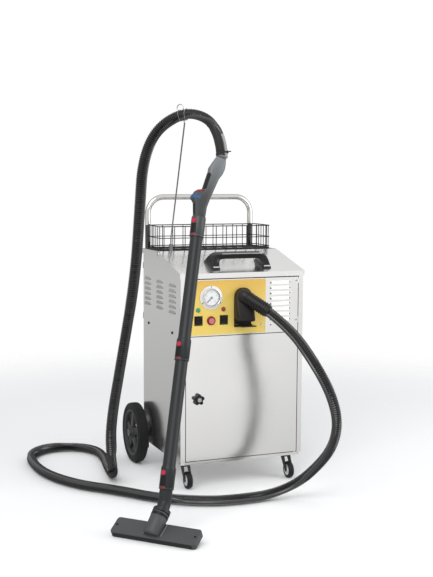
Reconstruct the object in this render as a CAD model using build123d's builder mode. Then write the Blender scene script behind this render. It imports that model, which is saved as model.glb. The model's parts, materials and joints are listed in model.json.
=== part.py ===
"""Steam vacuum cleaner: a wheeled cabinet with boiler, tanks, hose, gun, wand and floor tool.

Millimetres. The origin is the centre of the base pan's underside, +Z is up and the front faces -Y.
"""
from math import cos, hypot, radians, sin, tan
import os

from build123d import *

os.makedirs("parts", exist_ok=True)

# Cabinet sheet metal
cabinet_width = 460
cabinet_depth = 416
deck_height = 726
lid_front_height = 665
transition_y = 30
ground_clearance = 90
sheet = 1.5
pan_sheet = 2
pan_height = 10
pan_corner = 14
post_width = 17
post_depth = 17
post_drop = 10
skirt_drop = 18
skirt_gap = 2.5
lid_overhang = 4.5
lid_gap = 1
seam_gap = 2
rear_flange = 16
panel_fit = 0.3
shelf_drop = 8
shelf_flange = 26
shelf_setback = 24

# Louvres pressed into the sheets
louvre_height = 11
louvre_out = 4
louvre_skin = 1
louvre_pitch = 18.6
side_louvre_length = 62
side_louvre_columns = 3
side_louvre_spacing = 137
side_louvre_rear = 55
side_louvre_rows = 6
side_louvre_drop = 47
front_louvre_length = 69
front_louvre_in = 69.5
front_louvre_rows = 8
front_louvre_down = 17

# Door, control panel and their fastenings
door_gap = 2.5
door_depth = 18
panel_drop = 22
panel_height = 194.5
hinge_inset = 5
hinge_pin_radius = 2.5
hinge_pin_reach = 7
hinge_collar_radius = 5
hinge_collar_gap = 1
tab_height = 20
tab_reach = 17
screw_radius = 2
screw_head_radius = 4.5
screw_head_height = 2
screw_length = 7
panel_screw_in = 6.5
panel_screw_downs = (152, 13)
side_screw_rear = 63
side_screw_front = 88
side_screw_rise = 14
spare_hole = (316.9, 167)
rivet_radius = 3.5
rivet_height = 1.2
rivet_inset = 12
running = 0.05
slip = 0.3

# Door knob with its latch cam
knob_in = 44.5
knob_radius = 17
knob_lobe_radius = 6
knob_lobe_circle = 15
knob_lobes = 5
knob_height = 15
knob_shaft_radius = 5
cam_length = 58
cam_width = 14
cam_thickness = 3
cam_clearance = 1.2

# Control panel items: distances in from the panel's left edge and down from its top edge
gauge_at = (91, 62)
lamps_at = ((43.5, 104), (136.5, 104))
rockers_at = ((44.5, 141), (138, 141))
button_at = (91, 142)
socket_at = (207.5, 87)
cap_at = (283, 164)
fascia_in = 3.5
fascia_width = 292
fascia_thickness = 1
fascia_margin = 3
gauge_flange_radius = 41
gauge_flange = 2.5
gauge_can_radius = 31
gauge_can_depth = 44
gauge_bezel_radius = 33
gauge_bezel_height = 8
gauge_dial_radius = 28.5
gauge_dial_thickness = 1
gauge_shaft_radius = 1.5
gauge_screw_radius = 37
needle_thickness = 1
needle_lift = 1.5
needle_length = 23
needle_width = 2.4
needle_hub_radius = 4
needle_zero = 225
glass_thickness = 1.2
glass_recess = 1
lamp_radius = 7
lamp_body_radius = 5
lamp_height = 5
lamp_round = 3
lamp_depth = 22
bezel_width = 30
bezel_height = 33
bezel_thickness = 3
bezel_cheek = 16.5
rocker_width = 22
rocker_radius = 12.5
rocker_tilt = 9
rocker_pin_radius = 2
rocker_pivot_depth = 5
button_ring_radius = 15.5
button_radius = 10
button_proud = 5
button_body = 16
cap_radius = 5

# Hose socket, plug boot and flap
socket_width = 64
socket_height = 122
socket_plate = 5
socket_tube_radius = 24
socket_bore_radius = 20
socket_tube_depth = 30
boot_width = 66
boot_height = 118
boot_depth = 46
boot_corner = 26
boot_round = 12
boot_rise = 3
sleeve_radius = 22
sleeve_rib_radius = 24.5
sleeve_rib_pitch = 10
sleeve_rib_width = 5
sleeve_ribs = 6
sleeve_length = 84
flap_width = 54
flap_length = 50
flap_thickness = 4
flap_droop = -4
flap_hub_radius = 4
flap_pin_radius = 2
flap_ear = 4
flap_axis_out = 7
flap_axis_drop = 3

# Rear wheels and axle
wheel_radius = 113
wheel_width = 40
wheel_gap = 10
rim_radius = 88
rim_thickness = 10
hub_radius = 22
spoke_width = 20
spoke_thickness = 14
spokes = 5
spoke_sunk = 5
tyre_round = 12
axle_radius = 8
axle_behind = 14
axle_cap_radius = 15
axle_cap = 6
axle_end_gap = 1
ear_inset = 16
ear_thickness = 6
ear_margin = 14

# Casters
caster_inset = 36
caster_setback = 52
caster_trail = 28
caster_wheel_radius = 30
caster_wheel_width = 20
caster_plate = 44
caster_plate_thickness = 3
caster_plate_corner = 6
kingpin_radius = 5
fork_hub_radius = 15
fork_hub_height = 12
fork_leg = 2.5
fork_leg_width = 16
caster_pin_radius = 4
caster_side_gap = 0.8

# Push handle and clamps
handle_inset = 22
handle_behind = 14
handle_tube = 20
handle_wall = 1.5
handle_rise = 190
handle_tail = 296
handle_corner = 62
clamp_drops = (256, 66)
clamp_wall = 3
clamp_width = 34
clamp_height = 22
clamp_round = 6

# Wire basket
basket_inset_left = 15
basket_inset_right = 7
basket_setback = 26
basket_inset_rear = 8
basket_height = 88
basket_wire = 4
basket_corner = 14
basket_mid = 42
basket_front_wires = 11
basket_side_wires = 6

# Lid handle on the sloping lid
handle_span = 222
grip_offset_x = 7
grip_lid_distance = 172
grip_height = 46
grip_depth = 34
grip_bar = 18
grip_leg = 18
grip_foot_depth = 96
grip_foot_height = 6
grip_foot_corner = 6
grip_lean = 9
grip_inner_corner = 7
grip_corner = 14
lid_pivot_setback = 8
lid_pivot_drop = 7
lid_pin_radius = 3
lid_tab_margin = 1.2
lid_notch = 6
lid_swing_gap = 1

# Equipment inside the cabinet
boiler_radius = 80
boiler_length = 350
boiler_inset = 96
boiler_z = 116
boiler_dome = 18
boiler_wall = 7
boiler_foot_x = 120
boiler_foot = 20
boss_radius = 14
boss_height = 8
heater_flange_radius = 42
heater_flange = 10
safety_valve_x = 90
safety_valve_height = 46
safety_valve_radius = 11
valve_x = -30
valve_width = 44
valve_body = 31
valve_coil_radius = 17
valve_coil_height = 40
steam_tube = 10
tank_side_gap = 10
tank_width = 140
tank_depth = 190
tank_rear_gap = 53
tank_headroom = 76.5
filler_radius = 24
filler_height = 16
filler_setback = 63
pump_x = 40
pump_inset = 32
pump_radius = 24
pump_length = 80
pump_rise = 36
motor_side_gap = 28
motor_behind = 28
motor_radius = 62
motor_height = 130
motor_cap_radius = 40
motor_cap = 25
duct_radius = 19
duct_wall = 1.5
duct_inset = 102
duct_corner = 45
recovery_side_gap = 62
recovery_front_gap = 32
recovery_rear_gap = 32
recovery_height = 330
recovery_wall = 3
recovery_corner = 18
collar_height = 14
collar_wall = 4
board_side_gap = 35
board_inset = 96
board_width = 130
board_height = 130
board_thickness = 10
board_foot = 14
drain_side_inset = 12
drain_rear_inset = 14
drain_back = 48
drain_below = 32
drain_radius = 4
drain_drop = 34
gland_inset = 90
gland_z = 90
gland_radius = 11
gland_nut = 15.4
gland_nut_height = 6
gland_length = 18

# Hose: corner points of its route, from the plug to the gun
hose_diameter = 38
hose_bore = 32
hose_bend_share = 0.45
floor_z = -ground_clearance
hose_floor_gap = 0.5
hose_floor_z = floor_z + hose_diameter / 2 + hose_floor_gap
hose_points = (
    (55, -293, 538),
    (106, -370, 484),
    (132, -516, 376),
    (173, -546, 288),
    (196, -551, 191),
    (189, -524, 100),
    (154, -477, 26),
    (98, -426, -36),
    (24, -404, hose_floor_z),
    (-48, -414, hose_floor_z),
    (-187, -402, hose_floor_z),
    (-340, -313, hose_floor_z),
    (-447, -172, hose_floor_z),
    (-557, -62, hose_floor_z),
    (-638, 89, hose_floor_z),
    (-656, 230, hose_floor_z),
    (-648, 375, hose_floor_z),
    (-569, 454, hose_floor_z),
    (-457, 454, hose_floor_z),
    (-378, 375, hose_floor_z),
    (-374, 250, hose_floor_z),
    (-398, 120, hose_floor_z),
    (-414, -11, hose_floor_z),
    (-441, -99, 22),
    (-443, -98, 156),
    (-403, -106, 383),
    (-362, -107, 642),
    (-348, -114, 875),
    (-345, -129, 1047),
    (-310, -119, 1149),
    (-202, -152, 1208),
    (-124, -248, 1183),
    (-130, -333, 1114),
    (-150, -374, 1053),
)

# Hanger rod on the deck and its two wire rings around the hose
rod_radius = 2.5
rod_inset = 51
rod_setback = 12
rod_bend_rise = 44
rod_bend_radius = 60
ferrule_radius = 7
ferrule_height = 24
ring_share = 0.93205
ring_spread = 22
ring_wire = 1.5
ring_gap = 0.9
curl_radius = 12

# Wand, gun and floor tool standing in front of the cabinet
tool_x = -480.9
tool_y = -664.6
tool_heading = 43.8
tool_pitch = 27.5
tool_length = 285
tool_depth = 64
tool_height = 20.5
tool_corner = 8
neck_radius = 26.5
neck_front = 12
neck_tilt = 16.7
neck_base = 20.5
elbow_run = 106.5
elbow_radius = 45
swivel_run = 34
swivel_depth = 30
elbow_ring_radius = 27.5
elbow_ring = 12
mouth_length = 250
mouth_depth = 34
mouth_height = 12
mouth_margin = 8
bristle_width = 3
bristle_height = 9
bristle_proud = 5
clip_hole_radius = 3
clip_hole_inset = 22
wand_lean = 17.36
wand_heading = 47.2
wand_radius = 20
wand_wall = 2
lock_first = 92.6
lock_spacing = 395
socket_radius = 23
socket_up = 15
socket_down = 50
socket_fit = 0.2
spigot_up = 10
lock_angle = 215
lock_radius = 7.5
lock_proud = 2.5
lock_reach = 12
gun_thickness = 32
gun_round = 7
gun_outline = (
    (18.4, 12), (20, 50), (27.8, 80.6), (38.5, 115), (49, 149), (60, 168), (65.5, 184), (67, 201),
    (65.6, 220.5), (35, 223.6), (24, 203), (14, 183), (13, 163), (1.9, 106), (-23.4, 98), (-31, 83),
    (-30.6, 69), (-22.4, 57.7), (-16.6, 12),
)
gun_button_proud = 1
gun_button_travel = 3
gun_button_width = 34
gun_button_edge = 2.5
steam_button_at = (-10.75, 102)
steam_button_tilt = 17.55
steam_button_length = 25
steam_button_depth = 8
vacuum_button_at = (-31, 77.5)
vacuum_button_length = 15
vacuum_button_depth = 26
vacuum_button_tilt = 90

# Derived places
half_width = cabinet_width / 2
half_depth = cabinet_depth / 2
front = Plane.XZ.offset(half_depth)
fascia_face = Plane.XZ.offset(half_depth + fascia_thickness)
door_half = half_width - post_width - door_gap
door_bottom_z = pan_height + door_gap
panel_top_z = lid_front_height - panel_drop
panel_bottom_z = panel_top_z - panel_height
door_top_z = panel_bottom_z - door_gap
post_top = lid_front_height - post_drop
shelf_z = door_top_z - shelf_drop
shelf_top = shelf_z + sheet
shelf_front_y = -half_depth + shelf_setback
hinge_x = door_half - hinge_inset
hinge_y = -half_depth + hinge_inset
knob_x = -door_half + knob_in
knob_z = (door_bottom_z + door_top_z) / 2
lid_front_y = -half_depth - lid_overhang
lid_rear_y = transition_y - seam_gap / 2
lid_slope = (deck_height - lid_front_height) / (transition_y - lid_front_y)
deck_half = half_width + skirt_gap + sheet
wheel_x = half_width + wheel_gap + wheel_width / 2
axle_y = half_depth + axle_behind
axle_z = floor_z + wheel_radius
ear_x = half_width - ear_inset
caster_x = half_width - caster_inset
caster_y = -half_depth + caster_setback
caster_axle_y = caster_y - caster_trail
caster_axle_z = floor_z + caster_wheel_radius
panel_inside = Plane.XZ.offset(half_depth - sheet)
fascia_left = -door_half + fascia_in
panel_screw_x = door_half - panel_screw_in
panel_screw_rows = [panel_top_z - down for down in panel_screw_downs]
side_screw_z = shelf_z + side_screw_rise
side_screws = ((half_depth - side_screw_rear, side_screw_z), (-half_depth + side_screw_front, side_screw_z))
side_louvre_last = half_depth - side_louvre_rear
side_louvre_places = [side_louvre_last - side_louvre_spacing * step for step in range(side_louvre_columns)]
side_louvre_top_z = lid_front_height - side_louvre_drop
front_louvre_x = door_half - front_louvre_in
front_louvre_top_z = panel_top_z - front_louvre_down
boiler_y = half_depth - boiler_inset
valve_y = boiler_y
recovery_width = cabinet_width - 2 * recovery_side_gap
recovery_front_y = -half_depth + recovery_front_gap
recovery_rear_y = boiler_y - boiler_radius - recovery_rear_gap
recovery_depth = recovery_rear_y - recovery_front_y
recovery_y = (recovery_front_y + recovery_rear_y) / 2
recovery_top = pan_sheet + recovery_height
motor_x = half_width - motor_side_gap - motor_radius
motor_y = recovery_y + motor_behind
duct_y = -half_depth + duct_inset
drain_x = -half_width + drain_side_inset
drain_y = half_depth - drain_rear_inset
gland_x = half_width - gland_inset


def lid_z(y):
    """Height of the lid's upper face at depth y."""
    return deck_height - lid_slope * (transition_y - y)


lid_pivot_y = transition_y - lid_pivot_setback
lid_pivot_z = lid_z(lid_pivot_y) - lid_pivot_drop
lid_corner_y = lid_rear_y - seam_gap
lid_corner_z = lid_z(lid_rear_y) - skirt_drop
lid_swing = max(
    hypot(lid_rear_y - lid_pivot_y, lid_z(lid_rear_y) - lid_pivot_z),
    hypot(lid_corner_y - lid_pivot_y, lid_corner_z - lid_pivot_z),
)
swing_rear_y = lid_pivot_y + lid_swing + lid_swing_gap


def on_panel(at):
    """Place on the front face, from the panel's left and top edges."""
    return (-door_half + at[0], panel_top_z - at[1])


gauge_place = on_panel(gauge_at)
lamp_places = [on_panel(at) for at in lamps_at]
rocker_places = [on_panel(at) for at in rockers_at]
button_place = on_panel(button_at)
socket_place = on_panel(socket_at)
cap_place = on_panel(cap_at)


def hood(base, out, z, skin):
    """Corner points of one louvre hood's section, open at its lower side."""
    return (
        (base, z + louvre_height / 2 - 2 * skin),
        (base + out * (louvre_out - skin) / louvre_out, z - louvre_height / 2),
        (base, z - louvre_height / 2),
    )


# Base pan: folded tray with axle ears, caster plates with kingpins and the lower door pin
with BuildPart() as base_pan:
    with BuildSketch():
        RectangleRounded(cabinet_width, cabinet_depth, pan_corner)
    extrude(amount=pan_height)
    offset(amount=-pan_sheet, openings=base_pan.faces().sort_by(Axis.Z)[-1])
    for side in (-1, 1):
        with BuildSketch(Plane.YZ.offset(side * ear_x - ear_thickness / 2)):
            with BuildLine():
                Polyline(
                    (half_depth - pan_sheet, 0),
                    (axle_y + ear_margin, 0),
                    (axle_y + ear_margin, axle_z + ear_margin),
                    (half_depth, axle_z + ear_margin),
                    (half_depth, pan_height),
                    (half_depth - pan_sheet, pan_height),
                    close=True,
                )
            make_face()
        extrude(amount=ear_thickness)
    with BuildSketch(Plane.YZ):
        with Locations((axle_y, axle_z)):
            Circle(axle_radius + running)
    extrude(amount=half_width, both=True, mode=Mode.SUBTRACT)
    with BuildSketch(Plane.XY.offset(-caster_plate_thickness)):
        with Locations((-caster_x, caster_y), (caster_x, caster_y)):
            RectangleRounded(caster_plate, caster_plate, caster_plate_corner)
    extrude(amount=caster_plate_thickness)
    with BuildSketch(Plane.XY.offset(-caster_plate_thickness - fork_hub_height)):
        with Locations((-caster_x, caster_y), (caster_x, caster_y)):
            Circle(kingpin_radius)
    extrude(amount=fork_hub_height)
    with BuildSketch(Plane.XY.offset(pan_sheet)):
        with Locations((hinge_x, hinge_y)):
            Circle(hinge_collar_radius)
    extrude(amount=door_bottom_z - pan_sheet - hinge_collar_gap)
    with BuildSketch(Plane.XY.offset(pan_sheet)):
        with Locations((hinge_x, hinge_y)):
            Circle(hinge_pin_radius)
    extrude(amount=door_bottom_z - pan_sheet + hinge_pin_reach)
    with BuildSketch(Plane.XY):
        with Locations((drain_x, drain_y)):
            Circle(drain_radius + running)
    extrude(amount=pan_sheet, mode=Mode.SUBTRACT)

# Left side panel: wall, front post, rear flange, louvres, panel tabs and the lid's pivot stud
side_top = deck_height - sheet
lid_tab = lid_pin_radius + lid_tab_margin
lid_under = sheet + lid_gap + seam_gap
side_outline = (
    (-half_depth, pan_height),
    (half_depth, pan_height),
    (half_depth, side_top),
    (swing_rear_y, side_top),
    (swing_rear_y, lid_pivot_z - lid_notch),
    (lid_pivot_y + lid_tab, lid_pivot_z - lid_notch),
    (lid_pivot_y + lid_tab, lid_pivot_z),
    (lid_pivot_y, lid_pivot_z + lid_tab),
    (lid_pivot_y - 2 * lid_tab, lid_z(lid_pivot_y - 2 * lid_tab) - lid_under),
    (-half_depth, lid_z(-half_depth) - lid_under),
)
post_inner_x = -half_width + post_width
with BuildPart() as left_side_panel:
    with BuildSketch(Plane.YZ.offset(-half_width)):
        with BuildLine():
            Polyline(*side_outline, close=True)
        make_face()
    extrude(amount=sheet)
    with BuildSketch(Plane.XY.offset(pan_height)):
        with BuildLine():
            Polyline(
                (-half_width, -half_depth),
                (post_inner_x, -half_depth),
                (post_inner_x, -half_depth + post_depth),
                (post_inner_x - sheet, -half_depth + post_depth),
                (post_inner_x - sheet, -half_depth + sheet),
                (-half_width, -half_depth + sheet),
                close=True,
            )
        make_face()
    extrude(amount=post_top - pan_height)
    with BuildSketch(Plane.XY.offset(pan_height)):
        with Locations((-half_width + rear_flange / 2, half_depth - sheet - sheet / 2)):
            Rectangle(rear_flange, sheet)
    extrude(amount=side_top - pan_height)
    for column in side_louvre_places:
        with BuildSketch(Plane.XZ.offset(-column)):
            for row in range(side_louvre_rows):
                with BuildLine():
                    row_z = side_louvre_top_z - row * louvre_pitch
                    Polyline(*hood(-half_width, -louvre_out, row_z, 0), close=True)
                make_face()
        extrude(amount=side_louvre_length / 2, both=True)
        with BuildSketch(Plane.XZ.offset(-column)):
            for row in range(side_louvre_rows):
                with BuildLine():
                    row_z = side_louvre_top_z - row * louvre_pitch
                    inner = hood(-half_width + sheet, -louvre_out - sheet, row_z, louvre_skin)
                    Polyline(*inner, close=True)
                make_face()
        extrude(amount=side_louvre_length / 2 - louvre_skin, both=True, mode=Mode.SUBTRACT)
    with BuildSketch(panel_inside):
        for row in panel_screw_rows:
            with Locations((post_inner_x + tab_reach / 2 - sheet / 2, row)):
                Rectangle(tab_reach + sheet, tab_height)
    extrude(amount=-sheet)
    with BuildSketch(panel_inside):
        for row in panel_screw_rows:
            with Locations((-panel_screw_x, row)):
                Circle(screw_radius + running)
    extrude(amount=-sheet, mode=Mode.SUBTRACT)
    with BuildSketch(Plane.YZ.offset(-half_width)):
        with Locations(*side_screws):
            Circle(screw_radius + running)
    extrude(amount=sheet, mode=Mode.SUBTRACT)
    with BuildSketch(Plane.YZ.offset(-half_width)):
        with Locations((lid_pivot_y, lid_pivot_z)):
            Circle(lid_pin_radius)
    extrude(amount=-skirt_gap - 2 * sheet)

# Right side panel: the left one mirrored
with BuildPart() as right_side_panel:
    mirror(left_side_panel.part, about=Plane.YZ)

# Rear panel between the two side panels
with BuildPart() as rear_panel:
    with BuildSketch(Plane.XZ.offset(-half_depth + sheet)):
        with Locations((0, (pan_height + side_top) / 2)):
            Rectangle(cabinet_width - 2 * sheet - 2 * panel_fit, side_top - pan_height)
        with Locations((gland_x, gland_z)):
            Circle(gland_radius + running, mode=Mode.SUBTRACT)
    extrude(amount=-sheet)

# Top deck behind the lid, with side and rear skirts
deck_front_y = transition_y + seam_gap
deck_rear_y = half_depth + sheet + panel_fit
with BuildPart() as top_deck:
    with BuildSketch(Plane.XY.offset(deck_height - sheet)):
        with Locations((0, (deck_front_y + deck_rear_y) / 2)):
            Rectangle(2 * deck_half, deck_rear_y - deck_front_y)
    extrude(amount=sheet)
    with BuildSketch(Plane.XY.offset(deck_height - skirt_drop)):
        for side in (-1, 1):
            with Locations((side * (deck_half - sheet / 2), (swing_rear_y + deck_rear_y) / 2)):
                Rectangle(sheet, deck_rear_y - swing_rear_y)
        with Locations((0, deck_rear_y - sheet / 2)):
            Rectangle(2 * deck_half, sheet)
    extrude(amount=skirt_drop - sheet)

# Lid: sloping sheet with side skirts and a front lip, turning on the studs of the side panels
lid_down = Vector(0, -1, -lid_slope).normalized()
lid_normal = Vector(0, -lid_slope, 1).normalized()
rivet_place = Vector(-deck_half + rivet_inset, lid_front_y + rivet_inset, lid_z(lid_front_y + rivet_inset))
lid_profile = (
    (lid_rear_y, lid_z(lid_rear_y)),
    (lid_front_y, lid_z(lid_front_y)),
    (lid_front_y, lid_z(lid_front_y) - skirt_drop),
    (lid_front_y + sheet, lid_z(lid_front_y) - skirt_drop),
    (lid_front_y + sheet, lid_z(lid_front_y + sheet) - sheet),
    (lid_rear_y, lid_z(lid_rear_y) - sheet),
)
lid_skirt = (
    (lid_rear_y, lid_z(lid_rear_y)),
    (lid_front_y, lid_z(lid_front_y)),
    (lid_front_y, lid_z(lid_front_y) - skirt_drop),
    (lid_corner_y, lid_corner_z),
)
with BuildPart() as lid_panel:
    with BuildSketch(Plane.YZ):
        with BuildLine():
            Polyline(*lid_profile, close=True)
        make_face()
    extrude(amount=deck_half, both=True)
    for side_plane in (Plane.YZ.offset(-deck_half), Plane.YZ.offset(deck_half - sheet)):
        with BuildSketch(side_plane):
            with BuildLine():
                Polyline(*lid_skirt, close=True)
            make_face()
            with Locations((lid_pivot_y, lid_pivot_z)):
                Circle(lid_pin_radius + running, mode=Mode.SUBTRACT)
        extrude(amount=sheet)
    with BuildSketch(Plane(origin=rivet_place, x_dir=(1, 0, 0), z_dir=lid_normal)):
        Circle(rivet_radius)
    extrude(amount=rivet_height)

# Lid handle: a bridge with long feet, square to the sloping lid
lid_origin = Vector(grip_offset_x, transition_y, deck_height) + lid_down * grip_lid_distance
grip_plane = Plane(origin=lid_origin, x_dir=(1, 0, 0), z_dir=lid_down)
with BuildPart() as lid_handle:
    with BuildSketch(grip_plane):
        with BuildLine():
            FilletPolyline(
                (-handle_span / 2, 0),
                (-handle_span / 2 + grip_lean, grip_height),
                (handle_span / 2 - grip_lean, grip_height),
                (handle_span / 2, 0),
                radius=grip_corner,
            )
            Line((handle_span / 2, 0), (handle_span / 2 - grip_leg, 0))
            FilletPolyline(
                (handle_span / 2 - grip_leg, 0),
                (handle_span / 2 - grip_leg - grip_lean, grip_height - grip_bar),
                (-handle_span / 2 + grip_leg + grip_lean, grip_height - grip_bar),
                (-handle_span / 2 + grip_leg, 0),
                radius=grip_inner_corner,
            )
            Line((-handle_span / 2 + grip_leg, 0), (-handle_span / 2, 0))
        make_face()
    extrude(amount=grip_depth / 2, both=True)
    with BuildSketch(Plane(origin=lid_origin, x_dir=(1, 0, 0), z_dir=lid_normal)):
        for side in (-1, 1):
            with Locations((side * (handle_span - grip_leg) / 2, 0)):
                RectangleRounded(grip_leg, grip_foot_depth, grip_foot_corner)
    extrude(amount=grip_foot_height)

# Door: a folded tray hung on the two pins at its right edge
with BuildPart() as door_panel:
    with BuildSketch(front):
        with Locations((0, (door_bottom_z + door_top_z) / 2)):
            Rectangle(2 * door_half, door_top_z - door_bottom_z)
    extrude(amount=-door_depth)
    offset(amount=-sheet, openings=door_panel.faces().sort_by(Axis.Y)[-1])
    with BuildSketch(Plane.XY.offset(door_bottom_z)):
        with Locations((hinge_x, hinge_y)):
            Circle(hinge_pin_radius + running)
    extrude(amount=door_top_z - door_bottom_z, mode=Mode.SUBTRACT)
    with BuildSketch(front):
        with Locations((knob_x, knob_z)):
            Circle(knob_shaft_radius + running)
    extrude(amount=-sheet, mode=Mode.SUBTRACT)

# Door knob: five-lobed head, shaft through the door and the latch cam behind it
cam_plane = Plane.XZ.offset(half_depth - door_depth - cam_clearance)
with BuildPart() as door_knob:
    with BuildSketch(front):
        with Locations((knob_x, knob_z)):
            Circle(knob_shaft_radius)
    extrude(amount=-door_depth - cam_clearance - cam_thickness)
    with BuildSketch(Plane.XZ.offset(half_depth + slip)):
        with Locations((knob_x, knob_z)):
            Circle(knob_radius)
            with PolarLocations(knob_lobe_circle, knob_lobes, start_angle=90):
                Circle(knob_lobe_radius)
    extrude(amount=knob_height)
    with BuildSketch(Plane.XZ.offset(half_depth)):
        with Locations((knob_x, knob_z)):
            Circle(knob_shaft_radius)
    extrude(amount=slip)
    with BuildSketch(cam_plane):
        with Locations((knob_x, knob_z - cam_length / 2 + cam_width / 2)):
            SlotOverall(cam_length, cam_width, rotation=90)
    extrude(amount=-cam_thickness)

# Control panel: channel with top and bottom flanges, openings, louvres and the upper door pin
panel_profile = (
    (-half_depth, panel_bottom_z),
    (-half_depth + door_depth, panel_bottom_z),
    (-half_depth + door_depth, panel_bottom_z + sheet),
    (-half_depth + sheet, panel_bottom_z + sheet),
    (-half_depth + sheet, panel_top_z - sheet),
    (-half_depth + door_depth, panel_top_z - sheet),
    (-half_depth + door_depth, panel_top_z),
    (-half_depth, panel_top_z),
)
with BuildSketch(front) as panel_openings:
    with Locations(gauge_place):
        Circle(gauge_can_radius + slip)
    with Locations(*lamp_places):
        Circle(lamp_body_radius + running)
    with Locations(*rocker_places):
        Rectangle(rocker_width + 2 * slip, 2 * rocker_radius + 2 * slip)
    with Locations(button_place):
        Circle(button_radius + slip)
    with Locations(socket_place):
        Circle(socket_tube_radius + slip)
with BuildPart() as control_panel:
    with BuildSketch(Plane.YZ):
        with BuildLine():
            Polyline(*panel_profile, close=True)
        make_face()
    extrude(amount=door_half, both=True)
    with BuildSketch(Plane.YZ.offset(front_louvre_x)):
        for row in range(front_louvre_rows):
            with BuildLine():
                row_z = front_louvre_top_z - row * louvre_pitch
                Polyline(*hood(-half_depth, -louvre_out, row_z, 0), close=True)
            make_face()
    extrude(amount=front_louvre_length / 2, both=True)
    with BuildSketch(Plane.YZ.offset(front_louvre_x)):
        for row in range(front_louvre_rows):
            with BuildLine():
                row_z = front_louvre_top_z - row * louvre_pitch
                Polyline(*hood(-half_depth + sheet, -louvre_out - sheet, row_z, louvre_skin), close=True)
            make_face()
    extrude(amount=front_louvre_length / 2 - louvre_skin, both=True, mode=Mode.SUBTRACT)
    extrude(panel_openings.sketch, amount=-sheet, mode=Mode.SUBTRACT)
    with BuildSketch(front):
        for row in panel_screw_rows:
            with Locations((-panel_screw_x, row), (panel_screw_x, row)):
                Circle(screw_radius + running)
        with Locations(on_panel(spare_hole)):
            Circle(screw_radius)
    extrude(amount=-sheet, mode=Mode.SUBTRACT)
    with BuildSketch(Plane.XY.offset(door_top_z - hinge_pin_reach)):
        with Locations((hinge_x, hinge_y)):
            Circle(hinge_pin_radius)
    extrude(amount=hinge_pin_reach + door_gap + sheet)

# Yellow fascia plate on the left part of the control panel
with BuildPart() as yellow_fascia:
    with BuildSketch(front):
        with Locations((fascia_left + fascia_width / 2, (panel_bottom_z + panel_top_z) / 2)):
            Rectangle(fascia_width, panel_height - 2 * fascia_margin)
        for row in panel_screw_rows:
            with Locations((-panel_screw_x, row)):
                Circle(screw_radius + running, mode=Mode.SUBTRACT)
    extrude(amount=fascia_thickness)
    extrude(panel_openings.sketch, amount=fascia_thickness, mode=Mode.SUBTRACT)

# Screws of the panel and of the cabinet's sides, and the white blanking cap
with BuildPart() as panel_screws:
    for side in (-1, 1):
        face = fascia_face if side < 0 else front
        with BuildSketch(face):
            for row in panel_screw_rows:
                with Locations((side * panel_screw_x, row)):
                    Circle(screw_head_radius)
        extrude(amount=screw_head_height)
        with BuildSketch(face):
            for row in panel_screw_rows:
                with Locations((side * panel_screw_x, row)):
                    Circle(screw_radius)
        extrude(amount=-screw_length)
        with BuildSketch(Plane.YZ.offset(side * half_width)):
            with Locations(*side_screws):
                Circle(screw_head_radius)
        extrude(amount=side * screw_head_height)
        with BuildSketch(Plane.YZ.offset(side * half_width)):
            with Locations(*side_screws):
                Circle(screw_radius)
        extrude(amount=-side * screw_length)
    with BuildSketch(fascia_face):
        with Locations(cap_place):
            Circle(cap_radius)
    extrude(amount=screw_head_height)

# Inner shelf between the lower tank bay and the upper equipment bay
shelf_rear_y = half_depth - 2 * sheet - panel_fit
with BuildPart() as inner_shelf:
    with BuildSketch(Plane.XY.offset(shelf_z)):
        with Locations((0, (shelf_front_y + shelf_rear_y) / 2)):
            Rectangle(cabinet_width - 2 * sheet, shelf_rear_y - shelf_front_y)
        with Locations((socket_place[0], duct_y)):
            Circle(duct_radius + slip, mode=Mode.SUBTRACT)
        with Locations((motor_x, motor_y)):
            Circle(duct_radius + slip, mode=Mode.SUBTRACT)
        with Locations((valve_x, boiler_y)):
            Circle(steam_tube / 2 + slip, mode=Mode.SUBTRACT)
    extrude(amount=sheet)
    for side in (-1, 1):
        with BuildSketch(Plane.XY.offset(shelf_z)):
            with Locations((side * (half_width - sheet - sheet / 2), (shelf_front_y + shelf_rear_y) / 2)):
                Rectangle(sheet, shelf_rear_y - shelf_front_y)
        extrude(amount=shelf_flange)
    with BuildSketch(Plane.YZ):
        with Locations(*side_screws):
            Circle(screw_radius + running)
    extrude(amount=half_width, both=True, mode=Mode.SUBTRACT)

# Boiler: horizontal vessel on two saddles, with the heater flange at its left end
boiler_left = -boiler_length / 2
with BuildPart() as boiler:
    with BuildSketch(Plane.YZ.offset(boiler_left)):
        with Locations((boiler_y, boiler_z)):
            Circle(boiler_radius)
    extrude(amount=boiler_length)
    fillet(boiler.edges().filter_by(GeomType.CIRCLE), radius=boiler_dome)
    for side in (-1, 1):
        with BuildSketch(Plane.YZ.offset(side * boiler_foot_x - boiler_foot / 2)):
            with Locations((boiler_y, (pan_sheet + boiler_z) / 2)):
                Rectangle(boiler_radius, boiler_z - pan_sheet)
        extrude(amount=boiler_foot)
    with BuildSketch(Plane.YZ.offset(boiler_left - heater_flange)):
        with Locations((boiler_y, boiler_z)):
            Circle(heater_flange_radius)
    extrude(amount=heater_flange)
    with BuildSketch(Plane.XY.offset(boiler_z)):
        with Locations((safety_valve_x, boiler_y), (valve_x, boiler_y)):
            Circle(boss_radius)
    extrude(amount=boiler_radius + boss_height)
    with BuildSketch(Plane.YZ.offset(boiler_left + boiler_wall)):
        with Locations((boiler_y, boiler_z)):
            Circle(boiler_radius - boiler_wall)
    extrude(amount=boiler_length - 2 * boiler_wall, mode=Mode.SUBTRACT)

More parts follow.
